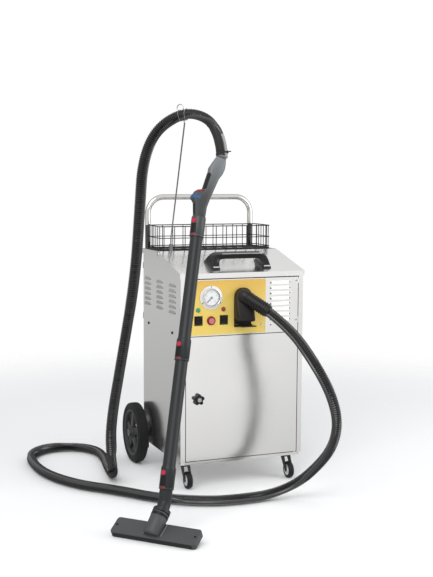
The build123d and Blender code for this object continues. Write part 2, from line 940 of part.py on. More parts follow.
# Safety valve on the boiler's top
boss_top = boiler_z + boiler_radius + boss_height
with BuildPart() as safety_valve:
    with BuildSketch(Plane.XY.offset(boss_top)):
        with Locations((safety_valve_x, boiler_y)):
            RegularPolygon(safety_valve_radius, 6)
    extrude(amount=safety_valve_height / 2)
    with BuildSketch(Plane.XY.offset(boss_top)):
        with Locations((safety_valve_x, boiler_y)):
            Circle(safety_valve_radius / 2)
    extrude(amount=safety_valve_height)

# Solenoid valve that lets steam through to the gun, standing on the shelf
with BuildPart() as solenoid_valve:
    with BuildSketch(Plane.XY.offset(shelf_top)):
        with Locations((valve_x, valve_y)):
            Rectangle(valve_width, valve_width)
            Circle(steam_tube / 2 + running, mode=Mode.SUBTRACT)
    extrude(amount=valve_body)
    with BuildSketch(Plane.XY.offset(shelf_top + valve_body)):
        with Locations((valve_x, valve_y)):
            Circle(valve_coil_radius)
    extrude(amount=valve_coil_height)

# Steam pipes: boiler to valve, and valve to the hose socket
pipe_z = shelf_top + valve_body / 2
pipe_front_y = -half_depth + socket_tube_depth
pipe_end_x = socket_place[0] - socket_tube_radius - steam_tube
with BuildPart() as steam_pipe:
    with BuildSketch(Plane.XY.offset(boss_top)):
        with Locations((valve_x, boiler_y)):
            Circle(steam_tube / 2)
    extrude(amount=shelf_top + valve_body - boss_top)
    with BuildLine() as pipe_run:
        FilletPolyline(
            (valve_x, valve_y - valve_width / 2, pipe_z),
            (valve_x, pipe_front_y + 3 * steam_tube, pipe_z),
            (pipe_end_x, pipe_front_y + 3 * steam_tube, socket_place[1]),
            (pipe_end_x, -half_depth + sheet, socket_place[1]),
            radius=2 * steam_tube,
        )
    with BuildSketch(Plane(pipe_run.line @ 0, z_dir=pipe_run.line % 0)):
        Circle(steam_tube / 2)
    sweep()

# Water tank under the deck with its filler neck
tank_x = -half_width + tank_side_gap + tank_width / 2
tank_y = half_depth - tank_rear_gap - tank_depth / 2
tank_height = deck_height - tank_headroom - shelf_top
with BuildPart() as water_tank:
    with BuildSketch(Plane.XY.offset(shelf_top)):
        with Locations((tank_x, tank_y)):
            RectangleRounded(tank_width, tank_depth, recovery_corner)
    extrude(amount=tank_height)
    with BuildSketch(Plane.XY.offset(shelf_top + recovery_wall)):
        with Locations((tank_x, tank_y)):
            inside = (tank_width - 2 * recovery_wall, tank_depth - 2 * recovery_wall)
            RectangleRounded(*inside, recovery_corner - recovery_wall)
    extrude(amount=tank_height - 2 * recovery_wall, mode=Mode.SUBTRACT)
    with BuildSketch(Plane.XY.offset(shelf_top + tank_height - recovery_wall)):
        with Locations((tank_x, tank_y - filler_setback)):
            Circle(filler_radius)
    extrude(amount=filler_height + recovery_wall)
    with BuildSketch(Plane.XY.offset(shelf_top + tank_height - 2 * recovery_wall)):
        with Locations((tank_x, tank_y - filler_setback)):
            Circle(filler_radius - recovery_wall)
    extrude(amount=filler_height + 2 * recovery_wall, mode=Mode.SUBTRACT)

# Feed pump: motor can on a bracket
pump_y = half_depth - pump_inset
with BuildPart() as feed_pump:
    with BuildSketch(Plane.XY.offset(shelf_top)):
        with Locations((pump_x, pump_y)):
            Rectangle(pump_length, pump_radius)
    extrude(amount=pump_radius)
    with BuildSketch(Plane.YZ.offset(pump_x - pump_length / 2)):
        with Locations((pump_y, shelf_top + pump_rise)):
            Circle(pump_radius)
    extrude(amount=pump_length)

# Vacuum motor over its suction opening in the shelf
with BuildPart() as vacuum_motor:
    with BuildSketch(Plane.XY.offset(shelf_top)):
        with Locations((motor_x, motor_y)):
            Circle(motor_radius)
    extrude(amount=motor_height)
    with BuildSketch(Plane.XY.offset(shelf_top + motor_height)):
        with Locations((motor_x, motor_y)):
            Circle(motor_cap_radius)
    extrude(amount=motor_cap)
    with BuildSketch(Plane.XY.offset(shelf_top)):
        with Locations((motor_x, motor_y)):
            Circle(duct_radius + slip)
    extrude(amount=motor_height / 2, mode=Mode.SUBTRACT)

# Suction ducts: hose socket to recovery tank, and tank to motor
with BuildPart() as suction_duct:
    with BuildLine() as duct_run:
        FilletPolyline(
            (socket_place[0], -half_depth + socket_tube_depth, socket_place[1]),
            (socket_place[0], duct_y, socket_place[1]),
            (socket_place[0], duct_y, recovery_top + running),
            radius=duct_corner,
        )
    with BuildSketch(Plane(duct_run.line @ 0, z_dir=duct_run.line % 0)):
        Circle(duct_radius)
        Circle(duct_radius - duct_wall, mode=Mode.SUBTRACT)
    sweep()
    with BuildSketch(Plane.XY.offset(recovery_top)):
        with Locations((motor_x, motor_y)):
            Circle(duct_radius)
            Circle(duct_radius - duct_wall, mode=Mode.SUBTRACT)
    extrude(amount=shelf_z - recovery_top)

# Recovery tank behind the door, with collars for the two ducts
with BuildPart() as recovery_tank:
    with BuildSketch(Plane.XY.offset(pan_sheet)):
        with Locations((0, recovery_y)):
            RectangleRounded(recovery_width, recovery_depth, recovery_corner)
    extrude(amount=recovery_height)
    with BuildSketch(Plane.XY.offset(pan_sheet + recovery_wall)):
        with Locations((0, recovery_y)):
            inside = (recovery_width - 2 * recovery_wall, recovery_depth - 2 * recovery_wall)
            RectangleRounded(*inside, recovery_corner - recovery_wall)
    extrude(amount=recovery_height - 2 * recovery_wall, mode=Mode.SUBTRACT)
    with BuildSketch(Plane.XY.offset(recovery_top)):
        with Locations((socket_place[0], duct_y), (motor_x, motor_y)):
            Circle(duct_radius + slip + collar_wall)
            Circle(duct_radius + slip, mode=Mode.SUBTRACT)
    extrude(amount=collar_height)
    with BuildSketch(Plane.XY.offset(recovery_top)):
        with Locations((socket_place[0], duct_y), (motor_x, motor_y)):
            Circle(duct_radius - duct_wall)
    extrude(amount=-recovery_wall, mode=Mode.SUBTRACT)

# Control board on two feet behind the gauge
board_x = -half_width + board_side_gap + board_width / 2
board_y = -half_depth + board_inset
with BuildPart() as control_board:
    with BuildSketch(Plane.XY.offset(shelf_top)):
        for side in (-1, 1):
            with Locations((board_x + side * (board_width - board_foot) / 2, board_y)):
                Rectangle(board_foot, board_thickness)
    extrude(amount=board_foot)
    with BuildSketch(Plane.XY.offset(shelf_top + board_foot)):
        with Locations((board_x, board_y)):
            Rectangle(board_width, board_thickness)
    extrude(amount=board_height)

# Drain tap: pipe from the boiler's left end down through the base pan
drain_start = Vector(boiler_left, boiler_y + drain_back, boiler_z - drain_below)
with BuildPart() as drain_tap:
    with BuildLine() as drain_run:
        FilletPolyline(
            drain_start,
            (drain_x, drain_start.Y, drain_start.Z),
            (drain_x, drain_y, drain_start.Z),
            (drain_x, drain_y, -drain_drop),
            radius=2 * drain_radius,
        )
    with BuildSketch(Plane(drain_run.line @ 0, z_dir=drain_run.line % 0)):
        Circle(drain_radius)
    sweep()

# Cable gland in the rear panel
with BuildPart() as cable_gland:
    with BuildSketch(Plane.XZ.offset(-half_depth)):
        with Locations((gland_x, gland_z)):
            RegularPolygon(gland_nut, 6)
    extrude(amount=-gland_nut_height)
    with BuildSketch(Plane.XZ.offset(-half_depth + 3 * sheet)):
        with Locations((gland_x, gland_z)):
            Circle(gland_radius)
    extrude(amount=-gland_length - 3 * sheet)

# Push handle: bent tube behind the cabinet
handle_x = half_width - handle_inset
handle_y = half_depth + handle_behind
handle_top_z = deck_height + handle_rise
handle_bottom_z = deck_height - handle_tail
with BuildPart() as push_handle:
    with BuildLine() as handle_run:
        FilletPolyline(
            (-handle_x, handle_y, handle_bottom_z),
            (-handle_x, handle_y, handle_top_z),
            (handle_x, handle_y, handle_top_z),
            (handle_x, handle_y, handle_bottom_z),
            radius=handle_corner,
        )
    with BuildSketch(Plane(handle_run.line @ 0, z_dir=handle_run.line % 0)):
        Circle(handle_tube / 2)
        Circle(handle_tube / 2 - handle_wall, mode=Mode.SUBTRACT)
    sweep()

# Handle clamps: four blocks on the rear panel
clamp_depth = handle_y + handle_tube / 2 + clamp_wall - half_depth
clamp_rows = [deck_height - drop for drop in clamp_drops]
with BuildPart() as handle_clamps:
    for row in clamp_rows:
        with BuildSketch(Plane.XY.offset(row - clamp_height / 2)):
            clamp_y = half_depth + clamp_depth / 2
            with Locations((-handle_x, clamp_y), (handle_x, clamp_y)):
                RectangleRounded(clamp_width, clamp_depth, clamp_round)
            with Locations((-handle_x, handle_y), (handle_x, handle_y)):
                Circle(handle_tube / 2 + running, mode=Mode.SUBTRACT)
        extrude(amount=clamp_height)

# Wire basket on the deck
basket_left = -half_width + basket_inset_left
basket_right = half_width - basket_inset_right
basket_front = transition_y + basket_setback
basket_rear = half_depth - basket_inset_rear
basket_x = (basket_left + basket_right) / 2
basket_y = (basket_front + basket_rear) / 2
basket_width = basket_right - basket_left
basket_depth = basket_rear - basket_front
front_pitch = (basket_width - basket_wire - 2 * basket_corner) / (basket_front_wires - 1)
side_pitch = (basket_depth - basket_wire - 2 * basket_corner) / (basket_side_wires - 1)
with BuildPart() as wire_basket:
    for level in (0, basket_mid, basket_height - basket_wire):
        with BuildSketch(Plane.XY.offset(deck_height + level)):
            with Locations((basket_x, basket_y)):
                RectangleRounded(basket_width, basket_depth, basket_corner)
                inner_corner = basket_corner - basket_wire
                inner_size = (basket_width - 2 * basket_wire, basket_depth - 2 * basket_wire)
                RectangleRounded(*inner_size, inner_corner, mode=Mode.SUBTRACT)
        extrude(amount=basket_wire)
    with BuildSketch(Plane.XY.offset(deck_height)):
        with Locations((basket_x, basket_y)):
            with GridLocations(front_pitch, basket_depth - basket_wire, basket_front_wires, 2):
                Rectangle(basket_wire, basket_wire)
            with GridLocations(basket_width - basket_wire, side_pitch, 2, basket_side_wires):
                Rectangle(basket_wire, basket_wire)
    extrude(amount=basket_height)
    with BuildSketch(Plane.XY.offset(deck_height)):
        with Locations((basket_x, basket_y)):
            with GridLocations(front_pitch, 0, basket_front_wires, 1):
                Rectangle(basket_wire, basket_depth - basket_wire)
    extrude(amount=basket_wire)

# Rear axle through the ears, with end caps outside the wheels
cap_inside_x = wheel_x + wheel_width / 2 + axle_end_gap
with BuildPart() as rear_axle:
    with BuildSketch(Plane.YZ):
        with Locations((axle_y, axle_z)):
            Circle(axle_radius)
    extrude(amount=cap_inside_x, both=True)
    for side in (-1, 1):
        with BuildSketch(Plane.YZ.offset(side * cap_inside_x)):
            with Locations((axle_y, axle_z)):
                Circle(axle_cap_radius)
        extrude(amount=side * axle_cap)

# Left rear wheel: spoked hub and rubber tyre
wheel_face = Plane.YZ.offset(-wheel_x)
with BuildPart() as left_hub:
    with BuildSketch(wheel_face):
        with Locations((axle_y, axle_z)):
            Circle(rim_radius)
            Circle(rim_radius - rim_thickness, mode=Mode.SUBTRACT)
            Circle(hub_radius)
    extrude(amount=wheel_width / 2, both=True)
    with BuildSketch(wheel_face):
        with Locations((axle_y, axle_z)):
            with PolarLocations((hub_radius + rim_radius - rim_thickness) / 2, spokes, start_angle=90):
                Rectangle(rim_radius - rim_thickness - hub_radius + 2 * spoke_sunk, spoke_width)
    extrude(amount=spoke_thickness / 2, both=True)
    with BuildSketch(wheel_face):
        with Locations((axle_y, axle_z)):
            Circle(axle_radius + running)
    extrude(amount=wheel_width / 2, both=True, mode=Mode.SUBTRACT)
with BuildPart() as left_tyre:
    with BuildSketch(wheel_face):
        with Locations((axle_y, axle_z)):
            Circle(wheel_radius)
    extrude(amount=wheel_width / 2, both=True)
    fillet(left_tyre.edges().filter_by(GeomType.CIRCLE), radius=tyre_round)
    with BuildSketch(wheel_face):
        with Locations((axle_y, axle_z)):
            Circle(rim_radius)
    extrude(amount=wheel_width / 2, both=True, mode=Mode.SUBTRACT)
left_wheel = Compound(children=[left_hub.part, left_tyre.part])
right_wheel = Compound(children=[mirror(left_hub.part, Plane.YZ), mirror(left_tyre.part, Plane.YZ)])

# Left caster fork: hub on the kingpin, two legs and the wheel's pin
fork_top = -caster_plate_thickness - slip
fork_half = caster_wheel_width / 2 + caster_side_gap
fork_legs = (
    (caster_y - fork_hub_radius, fork_top - fork_hub_height),
    (caster_axle_y - fork_leg_width / 2, caster_axle_z),
    (caster_axle_y, caster_axle_z - fork_leg_width / 2),
    (caster_axle_y + fork_leg_width / 2, caster_axle_z),
    (caster_y + fork_hub_radius, fork_top - fork_hub_height),
    (caster_y + fork_hub_radius, fork_top - fork_hub_height + fork_leg),
    (caster_y - fork_hub_radius, fork_top - fork_hub_height + fork_leg),
)
with BuildPart() as left_caster_fork:
    with BuildSketch(Plane.XY.offset(fork_top)):
        with Locations((-caster_x, caster_y)):
            Circle(fork_hub_radius)
            Circle(kingpin_radius + running, mode=Mode.SUBTRACT)
    extrude(amount=-fork_hub_height)
    with BuildSketch(Plane.XY.offset(fork_top - fork_hub_height)):
        with Locations((-caster_x, caster_y)):
            Rectangle(2 * fork_half + 2 * fork_leg, 2 * fork_hub_radius)
    extrude(amount=fork_leg)
    for leg_x in (-caster_x - fork_half - fork_leg, -caster_x + fork_half):
        with BuildSketch(Plane.YZ.offset(leg_x)):
            with BuildLine():
                Polyline(*fork_legs, close=True)
            make_face()
        extrude(amount=fork_leg)
    with BuildSketch(Plane.YZ.offset(-caster_x)):
        with Locations((caster_axle_y, caster_axle_z)):
            Circle(caster_pin_radius)
    extrude(amount=fork_half + fork_leg, both=True)
    with BuildSketch(Plane.XY.offset(fork_top)):
        with Locations((-caster_x, caster_y)):
            Circle(kingpin_radius + running)
    extrude(amount=-fork_hub_height, mode=Mode.SUBTRACT)

# Left caster wheel with its hub disc
with BuildPart() as left_caster_wheel:
    with BuildSketch(Plane.YZ.offset(-caster_x)):
        with Locations((caster_axle_y, caster_axle_z)):
            Circle(caster_wheel_radius)
            Circle(caster_pin_radius + running, mode=Mode.SUBTRACT)
    extrude(amount=caster_wheel_width / 2, both=True)
    fillet(
        left_caster_wheel.edges().filter_by(GeomType.CIRCLE).filter_by(lambda e: e.radius > fork_hub_radius),
        radius=caster_pin_radius,
    )
right_caster_fork = Pos(2 * caster_x, 0, 0) * left_caster_fork.part
right_caster_wheel = Pos(2 * caster_x, 0, 0) * left_caster_wheel.part

# Pressure gauge case: flange, can, bezel, dial and needle shaft
dial_face = Plane.XZ.offset(half_depth + fascia_thickness + gauge_flange + gauge_dial_thickness)
bezel_out = half_depth + fascia_thickness + gauge_flange + gauge_bezel_height
needle_y = half_depth + fascia_thickness + gauge_flange + gauge_dial_thickness + needle_lift
with BuildPart() as gauge_case:
    with BuildSketch(fascia_face):
        with Locations(gauge_place):
            Circle(gauge_flange_radius)
    extrude(amount=gauge_flange)
    with BuildSketch(fascia_face):
        with Locations(gauge_place):
            Circle(gauge_can_radius)
    extrude(amount=-gauge_can_depth)
    with BuildSketch(fascia_face):
        with Locations(gauge_place):
            Circle(gauge_bezel_radius)
            Circle(gauge_dial_radius + slip, mode=Mode.SUBTRACT)
    extrude(amount=gauge_flange + gauge_bezel_height)
    with BuildSketch(fascia_face):
        with Locations(gauge_place):
            Circle(gauge_dial_radius + slip)
    extrude(amount=gauge_flange + gauge_dial_thickness)
    with BuildSketch(dial_face):
        with Locations(gauge_place):
            Circle(gauge_shaft_radius)
    extrude(amount=needle_lift + needle_thickness + slip)
    with BuildSketch(Plane.XZ.offset(half_depth + fascia_thickness + gauge_flange)):
        with Locations(gauge_place):
            with PolarLocations(gauge_screw_radius, 3, start_angle=30):
                Circle(screw_radius)
    extrude(amount=screw_head_height / 2)

# Gauge needle on its shaft, resting at zero
needle_angle = radians(needle_zero)
with BuildPart() as gauge_needle:
    with BuildSketch(Plane.XZ.offset(needle_y)):
        with Locations(gauge_place):
            Circle(needle_hub_radius)
        needle_mid = needle_length / 2 - needle_hub_radius / 2
        needle_x = gauge_place[0] + needle_mid * cos(needle_angle)
        needle_z = gauge_place[1] + needle_mid * sin(needle_angle)
        with Locations(Location((needle_x, needle_z), needle_zero)):
            Rectangle(needle_length + needle_hub_radius, needle_width)
        with Locations(gauge_place):
            Circle(gauge_shaft_radius + running, mode=Mode.SUBTRACT)
    extrude(amount=needle_thickness)

# Gauge glass let into the bezel
with BuildPart() as gauge_glass:
    with BuildSketch(Plane.XZ.offset(bezel_out - glass_recess)):
        with Locations(gauge_place):
            Circle(gauge_dial_radius + slip - running)
    extrude(amount=-glass_thickness)

# Pilot lamps: lens, and body through the panel
with BuildPart() as pilot_lamps:
    with BuildSketch(fascia_face):
        with Locations(*lamp_places):
            Circle(lamp_radius)
    extrude(amount=lamp_height)
    fillet(pilot_lamps.faces().sort_by(Axis.Y)[0:2].edges(), radius=lamp_round)
    with BuildSketch(fascia_face):
        with Locations(*lamp_places):
            Circle(lamp_body_radius)
    extrude(amount=-lamp_depth)

# Switch bezels: two rocker frames and the push button's ring
rocker_axis_y = half_depth + fascia_thickness - rocker_pivot_depth
with BuildPart() as switch_bezels:
    with BuildSketch(fascia_face):
        with Locations(*rocker_places):
            RectangleRounded(bezel_width, bezel_height, bezel_thickness)
            Rectangle(rocker_width + 2 * slip, 2 * rocker_radius + 2 * slip, mode=Mode.SUBTRACT)
    extrude(amount=bezel_thickness)
    for side in (-1, 1):
        with BuildSketch(fascia_face):
            for place in rocker_places:
                cheek_x = place[0] + side * (rocker_width / 2 + slip + bezel_thickness / 2)
                with Locations((cheek_x, place[1])):
                    Rectangle(bezel_thickness, bezel_cheek)
        extrude(amount=-2 * rocker_pivot_depth)
    with BuildSketch(Plane.YZ.offset(rocker_places[0][0] - bezel_width)):
        with Locations((-rocker_axis_y, rocker_places[0][1])):
            Circle(rocker_pin_radius + running)
    extrude(amount=rocker_places[1][0] - rocker_places[0][0] + 2 * bezel_width, mode=Mode.SUBTRACT)
    with BuildSketch(fascia_face):
        with Locations(button_place):
            Circle(button_ring_radius)
            Circle(button_radius + slip, mode=Mode.SUBTRACT)
    extrude(amount=bezel_thickness)
control_panel.part = control_panel.part - switch_bezels.part
yellow_fascia.part = yellow_fascia.part - switch_bezels.part

# Rockers: drum sections with a bent face, each on its own pin
rocker_cut = rocker_radius + rocker_pivot_depth + bezel_thickness
rocker_nodes = []
for place in rocker_places:
    with BuildPart() as rocker:
        with BuildSketch(Plane.YZ.offset(place[0])) as rocker_section:
            with Locations((-rocker_axis_y, place[1])):
                Circle(rocker_radius)
            with Locations(Location((-rocker_axis_y, place[1]), 2 * rocker_tilt)):
                with Locations((-rocker_cut, rocker_radius)):
                    Rectangle(2 * rocker_radius, 2 * rocker_radius, mode=Mode.SUBTRACT)
            with Locations((-rocker_axis_y - rocker_cut, place[1] - rocker_radius)):
                Rectangle(2 * rocker_radius, 2 * rocker_radius, mode=Mode.SUBTRACT)
        extrude(amount=rocker_width / 2, both=True)
        with BuildSketch(Plane.YZ.offset(place[0])):
            with Locations((-rocker_axis_y, place[1])):
                Circle(rocker_pin_radius)
        extrude(amount=rocker_width / 2 + slip + bezel_thickness / 2, both=True)
    rocker_nodes.append(rocker.part)

# Push button in its ring
with BuildPart() as push_button:
    with BuildSketch(Plane.XZ.offset(half_depth + fascia_thickness + bezel_thickness + button_proud)):
        with Locations(button_place):
            Circle(button_radius)
    extrude(amount=-button_body)

# Hose socket: plate, tube through the panel and the flap's ears
plate_out = half_depth + fascia_thickness + socket_plate
plate_bottom_z = socket_place[1] - socket_height / 2 - boot_round
flap_axis_y = -plate_out - flap_axis_out
flap_axis_z = plate_bottom_z - flap_axis_drop
with BuildPart() as hose_socket:
    with BuildSketch(fascia_face):
        with Locations((socket_place[0], socket_place[1] - boot_round)):
            RectangleRounded(socket_width, socket_height, boot_round)
    extrude(amount=socket_plate)
    with BuildSketch(fascia_face):
        with Locations(socket_place):
            Circle(socket_tube_radius)
    extrude(amount=-socket_tube_depth)
    with BuildSketch(Plane.XZ.offset(plate_out)):
        with Locations(socket_place):
            Circle(socket_bore_radius)
    extrude(amount=-socket_tube_depth - socket_plate, mode=Mode.SUBTRACT)
    for side in (-1, 1):
        with BuildSketch(Plane.YZ.offset(socket_place[0] + side * (flap_width / 2 + slip + flap_ear / 2))):
            with Locations((flap_axis_y, flap_axis_z)):
                Circle(flap_hub_radius)
            with Locations(((flap_axis_y - plate_out + socket_plate) / 2, flap_axis_z)):
                Rectangle(-flap_axis_y - plate_out + socket_plate, 2 * flap_hub_radius)
            with Locations((-plate_out + socket_plate / 2, flap_axis_z + flap_hub_radius)):
                Rectangle(socket_plate, 4 * flap_hub_radius)
            with Locations((flap_axis_y, flap_axis_z)):
                Circle(flap_pin_radius + running, mode=Mode.SUBTRACT)
        extrude(amount=flap_ear / 2, both=True)

# Hose plug: rounded boot on the socket with its ribbed sleeve
hose_start = Vector(*hose_points[0])
hose_out = (Vector(*hose_points[1]) - hose_start).normalized()
sleeve_plane = Plane(origin=hose_start, z_dir=-hose_out)
with BuildPart() as hose_plug:
    with BuildSketch(Plane.XZ.offset(plate_out)):
        with Locations((socket_place[0], socket_place[1] + boot_rise - boot_round / 2)):
            RectangleRounded(boot_width, boot_height, boot_corner)
    extrude(amount=boot_depth)
    fillet(hose_plug.faces().sort_by(Axis.Y)[0].edges(), radius=boot_round)
    with BuildSketch(sleeve_plane):
        Circle(sleeve_radius)
    extrude(amount=sleeve_length)
    for rib in range(sleeve_ribs):
        with BuildSketch(sleeve_plane.offset(rib * sleeve_rib_pitch)):
            Circle(sleeve_rib_radius)
        extrude(amount=sleeve_rib_width)

# Flap hinged under the boot
with BuildPart() as socket_flap:
    with BuildSketch(Plane.YZ.offset(socket_place[0])):
        with Locations((flap_axis_y, flap_axis_z)):
            Circle(flap_hub_radius)
        with Locations(Location((flap_axis_y, flap_axis_z), flap_droop)):
            with Locations((-flap_length / 2, 0)):
                Rectangle(flap_length, flap_thickness)
    extrude(amount=flap_width / 2, both=True)
    with BuildSketch(Plane.YZ.offset(socket_place[0])):
        with Locations((flap_axis_y, flap_axis_z)):
            Circle(flap_pin_radius)
    extrude(amount=flap_width / 2 + slip + flap_ear, both=True)

# Vacuum hose along its route, each bend as round as its two runs allow
route = [Vector(*point) for point in hose_points]
bend_radii = []
for before, corner, after in zip(route, route[1:], route[2:]):
    turn = (corner - before).get_angle(after - corner)
    shorter = min((corner - before).length, (after - corner).length)
    bend_radii.append(hose_bend_share * shorter / tan(radians(turn) / 2))
with BuildPart() as vacuum_hose:
    with BuildLine() as hose_run:
        FilletPolyline(*route, radius=bend_radii)
    with BuildSketch(Plane(route[0], z_dir=hose_out)):
        Circle(hose_diameter / 2)
        Circle(hose_bore / 2, mode=Mode.SUBTRACT)
    sweep()
print("hose length", round(hose_run.wire().length))

# Two wire rings around the hose with their link and top curl
ring_centre = hose_run.wire() @ ring_share
ring_along = hose_run.wire() % ring_share
ring_radius = hose_diameter / 2 + ring_gap + ring_wire
ring_down = (Vector(0, 0, -1) + ring_along * ring_along.Z).normalized()
rod_tip = ring_centre + ring_down * ring_radius
ring_side = ring_along.cross(ring_down)
with BuildPart() as hose_rings:
    for side in (-1, 1):
        ring_origin = ring_centre + ring_along * (side * ring_spread / 2 - ring_wire)
        with BuildSketch(Plane(origin=ring_origin, x_dir=ring_down, z_dir=ring_along)):
            Circle(ring_radius + ring_wire)
            Circle(ring_radius - ring_wire, mode=Mode.SUBTRACT)
        extrude(amount=2 * ring_wire)
    with BuildSketch(Plane(origin=rod_tip - ring_along * (ring_spread / 2), z_dir=ring_along)):
        Circle(ring_wire / 2)
    extrude(amount=ring_spread)
    curl_rise = ring_radius + curl_radius + ring_wire / 2
    curl_centre = ring_centre - ring_along * (ring_spread / 2) - ring_down * curl_rise - ring_side * ring_wire
    with BuildSketch(Plane(origin=curl_centre, x_dir=ring_down, z_dir=ring_side)):
        Circle(curl_radius + ring_wire)
        Circle(curl_radius - ring_wire, mode=Mode.SUBTRACT)
    extrude(amount=2 * ring_wire)

# Hanger rod from its ferrule on the deck up to the rings
rod_x = -half_width + rod_inset
rod_y = transition_y + rod_setback
rod_bend_z = deck_height + rod_bend_rise
with BuildPart() as rod_wire:
    with BuildLine() as rod_run:
        FilletPolyline(
            (rod_x, rod_y, deck_height + slip),
            (rod_x, rod_y, rod_bend_z),
            rod_tip + ring_down * (rod_radius + ring_wire),
            radius=rod_bend_radius,
        )
    with BuildSketch(Plane(rod_run.line @ 0, z_dir=rod_run.line % 0)):
        Circle(rod_radius)
    sweep()
with BuildPart() as rod_ferrule:
    with BuildSketch(Plane.XY.offset(deck_height)):
        with Locations((rod_x, rod_y)):
            Circle(ferrule_radius)
            Circle(rod_radius, mode=Mode.SUBTRACT)
    extrude(amount=ferrule_height)
hanger_rod = Compound(children=[rod_wire.part, rod_ferrule.part])

# Directions of the floor tool, its neck and the wand
heading = radians(tool_heading)
pitch = radians(tool_pitch)
tool_side = Vector(sin(heading), -cos(heading), 0)
tool_back = Vector(cos(heading) * cos(pitch), sin(heading) * cos(pitch), sin(pitch))
tool_up = Vector(-cos(heading) * sin(pitch), -sin(heading) * sin(pitch), cos(pitch))
tool_origin = Vector(tool_x, tool_y, floor_z)
neck_dir = tool_back * cos(radians(neck_tilt)) + tool_up * sin(radians(neck_tilt))
neck_origin = tool_origin + tool_back * neck_front + tool_up * neck_base
elbow_corner = neck_origin + neck_dir * elbow_run
lean = radians(wand_lean)
wand_azimuth = radians(wand_heading)
wand_dir = Vector(sin(lean) * cos(wand_azimuth), sin(lean) * sin(wand_azimuth), cos(lean))
bend_dir = (Vector(1, 0, 0) - wand_dir * wand_dir.X).normalized()
side_dir = wand_dir.cross(bend_dir)
lock_turn = radians(lock_angle)
lock_dir = bend_dir * cos(lock_turn) + side_dir * sin(lock_turn)
lock_levels = [lock_first + lock_spacing * step for step in range(3)]


def wand_plane(level):
    """Cross plane of the wand at a distance above the elbow corner."""
    return Plane(origin=elbow_corner + wand_dir * level, x_dir=bend_dir, z_dir=wand_dir)


def lock_plane(level):
    """Plane across a lock button's axis, at the wand's centre line."""
    return Plane(origin=elbow_corner + wand_dir * level, x_dir=wand_dir, z_dir=lock_dir)


# Floor elbow: spigot for the wand, bend, ring and the swivel spigot inside the tool's neck
swivel_start = elbow_run - swivel_run
with BuildPart() as floor_elbow:
    with BuildLine() as elbow_line:
        FilletPolyline(
            elbow_corner + wand_dir * (lock_first + spigot_up),
            elbow_corner,
            neck_origin + neck_dir * (swivel_start - swivel_depth),
            radius=elbow_radius,
        )
    with BuildSketch(Plane(elbow_line.line @ 0, z_dir=elbow_line.line % 0)):
        Circle(wand_radius)
        Circle(wand_radius - wand_wall, mode=Mode.SUBTRACT)
    sweep()
    with BuildSketch(Plane(origin=neck_origin + neck_dir * (swivel_start + slip), z_dir=neck_dir)):
        Circle(elbow_ring_radius)
        Circle(wand_radius - wand_wall, mode=Mode.SUBTRACT)
    extrude(amount=elbow_ring)
    with BuildSketch(lock_plane(lock_levels[0])):
        Circle(lock_radius + slip)
    extrude(amount=wand_radius + wand_wall, mode=Mode.SUBTRACT)

# Floor nozzle: flat body with a half-round neck, mouth slot and clip holes
sole_plane = Plane(origin=tool_origin, x_dir=tool_side, z_dir=tool_up)
with BuildPart() as floor_nozzle:
    with BuildSketch(sole_plane):
        with Locations((0, tool_depth / 2)):
            RectangleRounded(tool_length, tool_depth, tool_corner)
    extrude(amount=tool_height)
    with BuildSketch(Plane(origin=neck_origin, z_dir=neck_dir)):
        Circle(neck_radius)
    extrude(amount=swivel_start)
    with BuildSketch(sole_plane):
        with Locations((0, tool_depth / 2)):
            Rectangle(2 * tool_length, 4 * tool_length)
    extrude(amount=-tool_length, mode=Mode.SUBTRACT)
    swivel_floor = neck_origin + neck_dir * (swivel_start - swivel_depth - slip)
    with BuildSketch(Plane(origin=swivel_floor, z_dir=neck_dir)):
        Circle(wand_radius + running)
    extrude(amount=swivel_depth + slip, mode=Mode.SUBTRACT)
    with BuildSketch(sole_plane):
        with Locations((0, tool_depth / 2)):
            RectangleRounded(mouth_length, mouth_depth, tool_corner)
    extrude(amount=mouth_height, mode=Mode.SUBTRACT)
    with BuildSketch(sole_plane):
        with Locations((0, mouth_margin), (0, tool_depth - mouth_margin)):
            Rectangle(mouth_length, bristle_width)
    extrude(amount=bristle_height - bristle_proud, mode=Mode.SUBTRACT)
    with BuildSketch(sole_plane):
        for side in (-1, 1):
            with Locations((side * (tool_length / 2 - clip_hole_inset / 2), tool_depth / 2)):
                Circle(clip_hole_radius)
    extrude(amount=tool_height, mode=Mode.SUBTRACT)

# Bristle strips in the sole's two grooves
with BuildPart() as nozzle_bristles:
    with BuildSketch(sole_plane.offset(-bristle_proud)):
        with Locations((0, mouth_margin), (0, tool_depth - mouth_margin)):
            Rectangle(mouth_length, bristle_width)
    extrude(amount=bristle_height)

# Wand tubes: a socket at the lower end and a plain spigot at the upper end
tube_nodes = []
for level in lock_levels[:2]:
    with BuildPart() as tube:
        with BuildSketch(wand_plane(level - socket_down)):
            Circle(socket_radius)
        extrude(amount=socket_down + socket_up)
        with BuildSketch(wand_plane(level + spigot_up)):
            Circle(wand_radius)
        extrude(amount=lock_spacing)
        with BuildSketch(wand_plane(level - socket_down)):
            Circle(wand_radius + socket_fit)
        extrude(amount=socket_down + spigot_up, mode=Mode.SUBTRACT)
        with BuildSketch(wand_plane(level)):
            Circle(wand_radius - wand_wall)
        extrude(amount=lock_spacing + spigot_up, mode=Mode.SUBTRACT)
        with BuildSketch(lock_plane(level)):
            Circle(lock_radius + slip)
        extrude(amount=socket_radius + wand_wall, mode=Mode.SUBTRACT)
        with BuildSketch(lock_plane(level + lock_spacing)):
            Circle(lock_radius + slip)
        extrude(amount=socket_radius + wand_wall, mode=Mode.SUBTRACT)
    tube_nodes.append(tube.part)

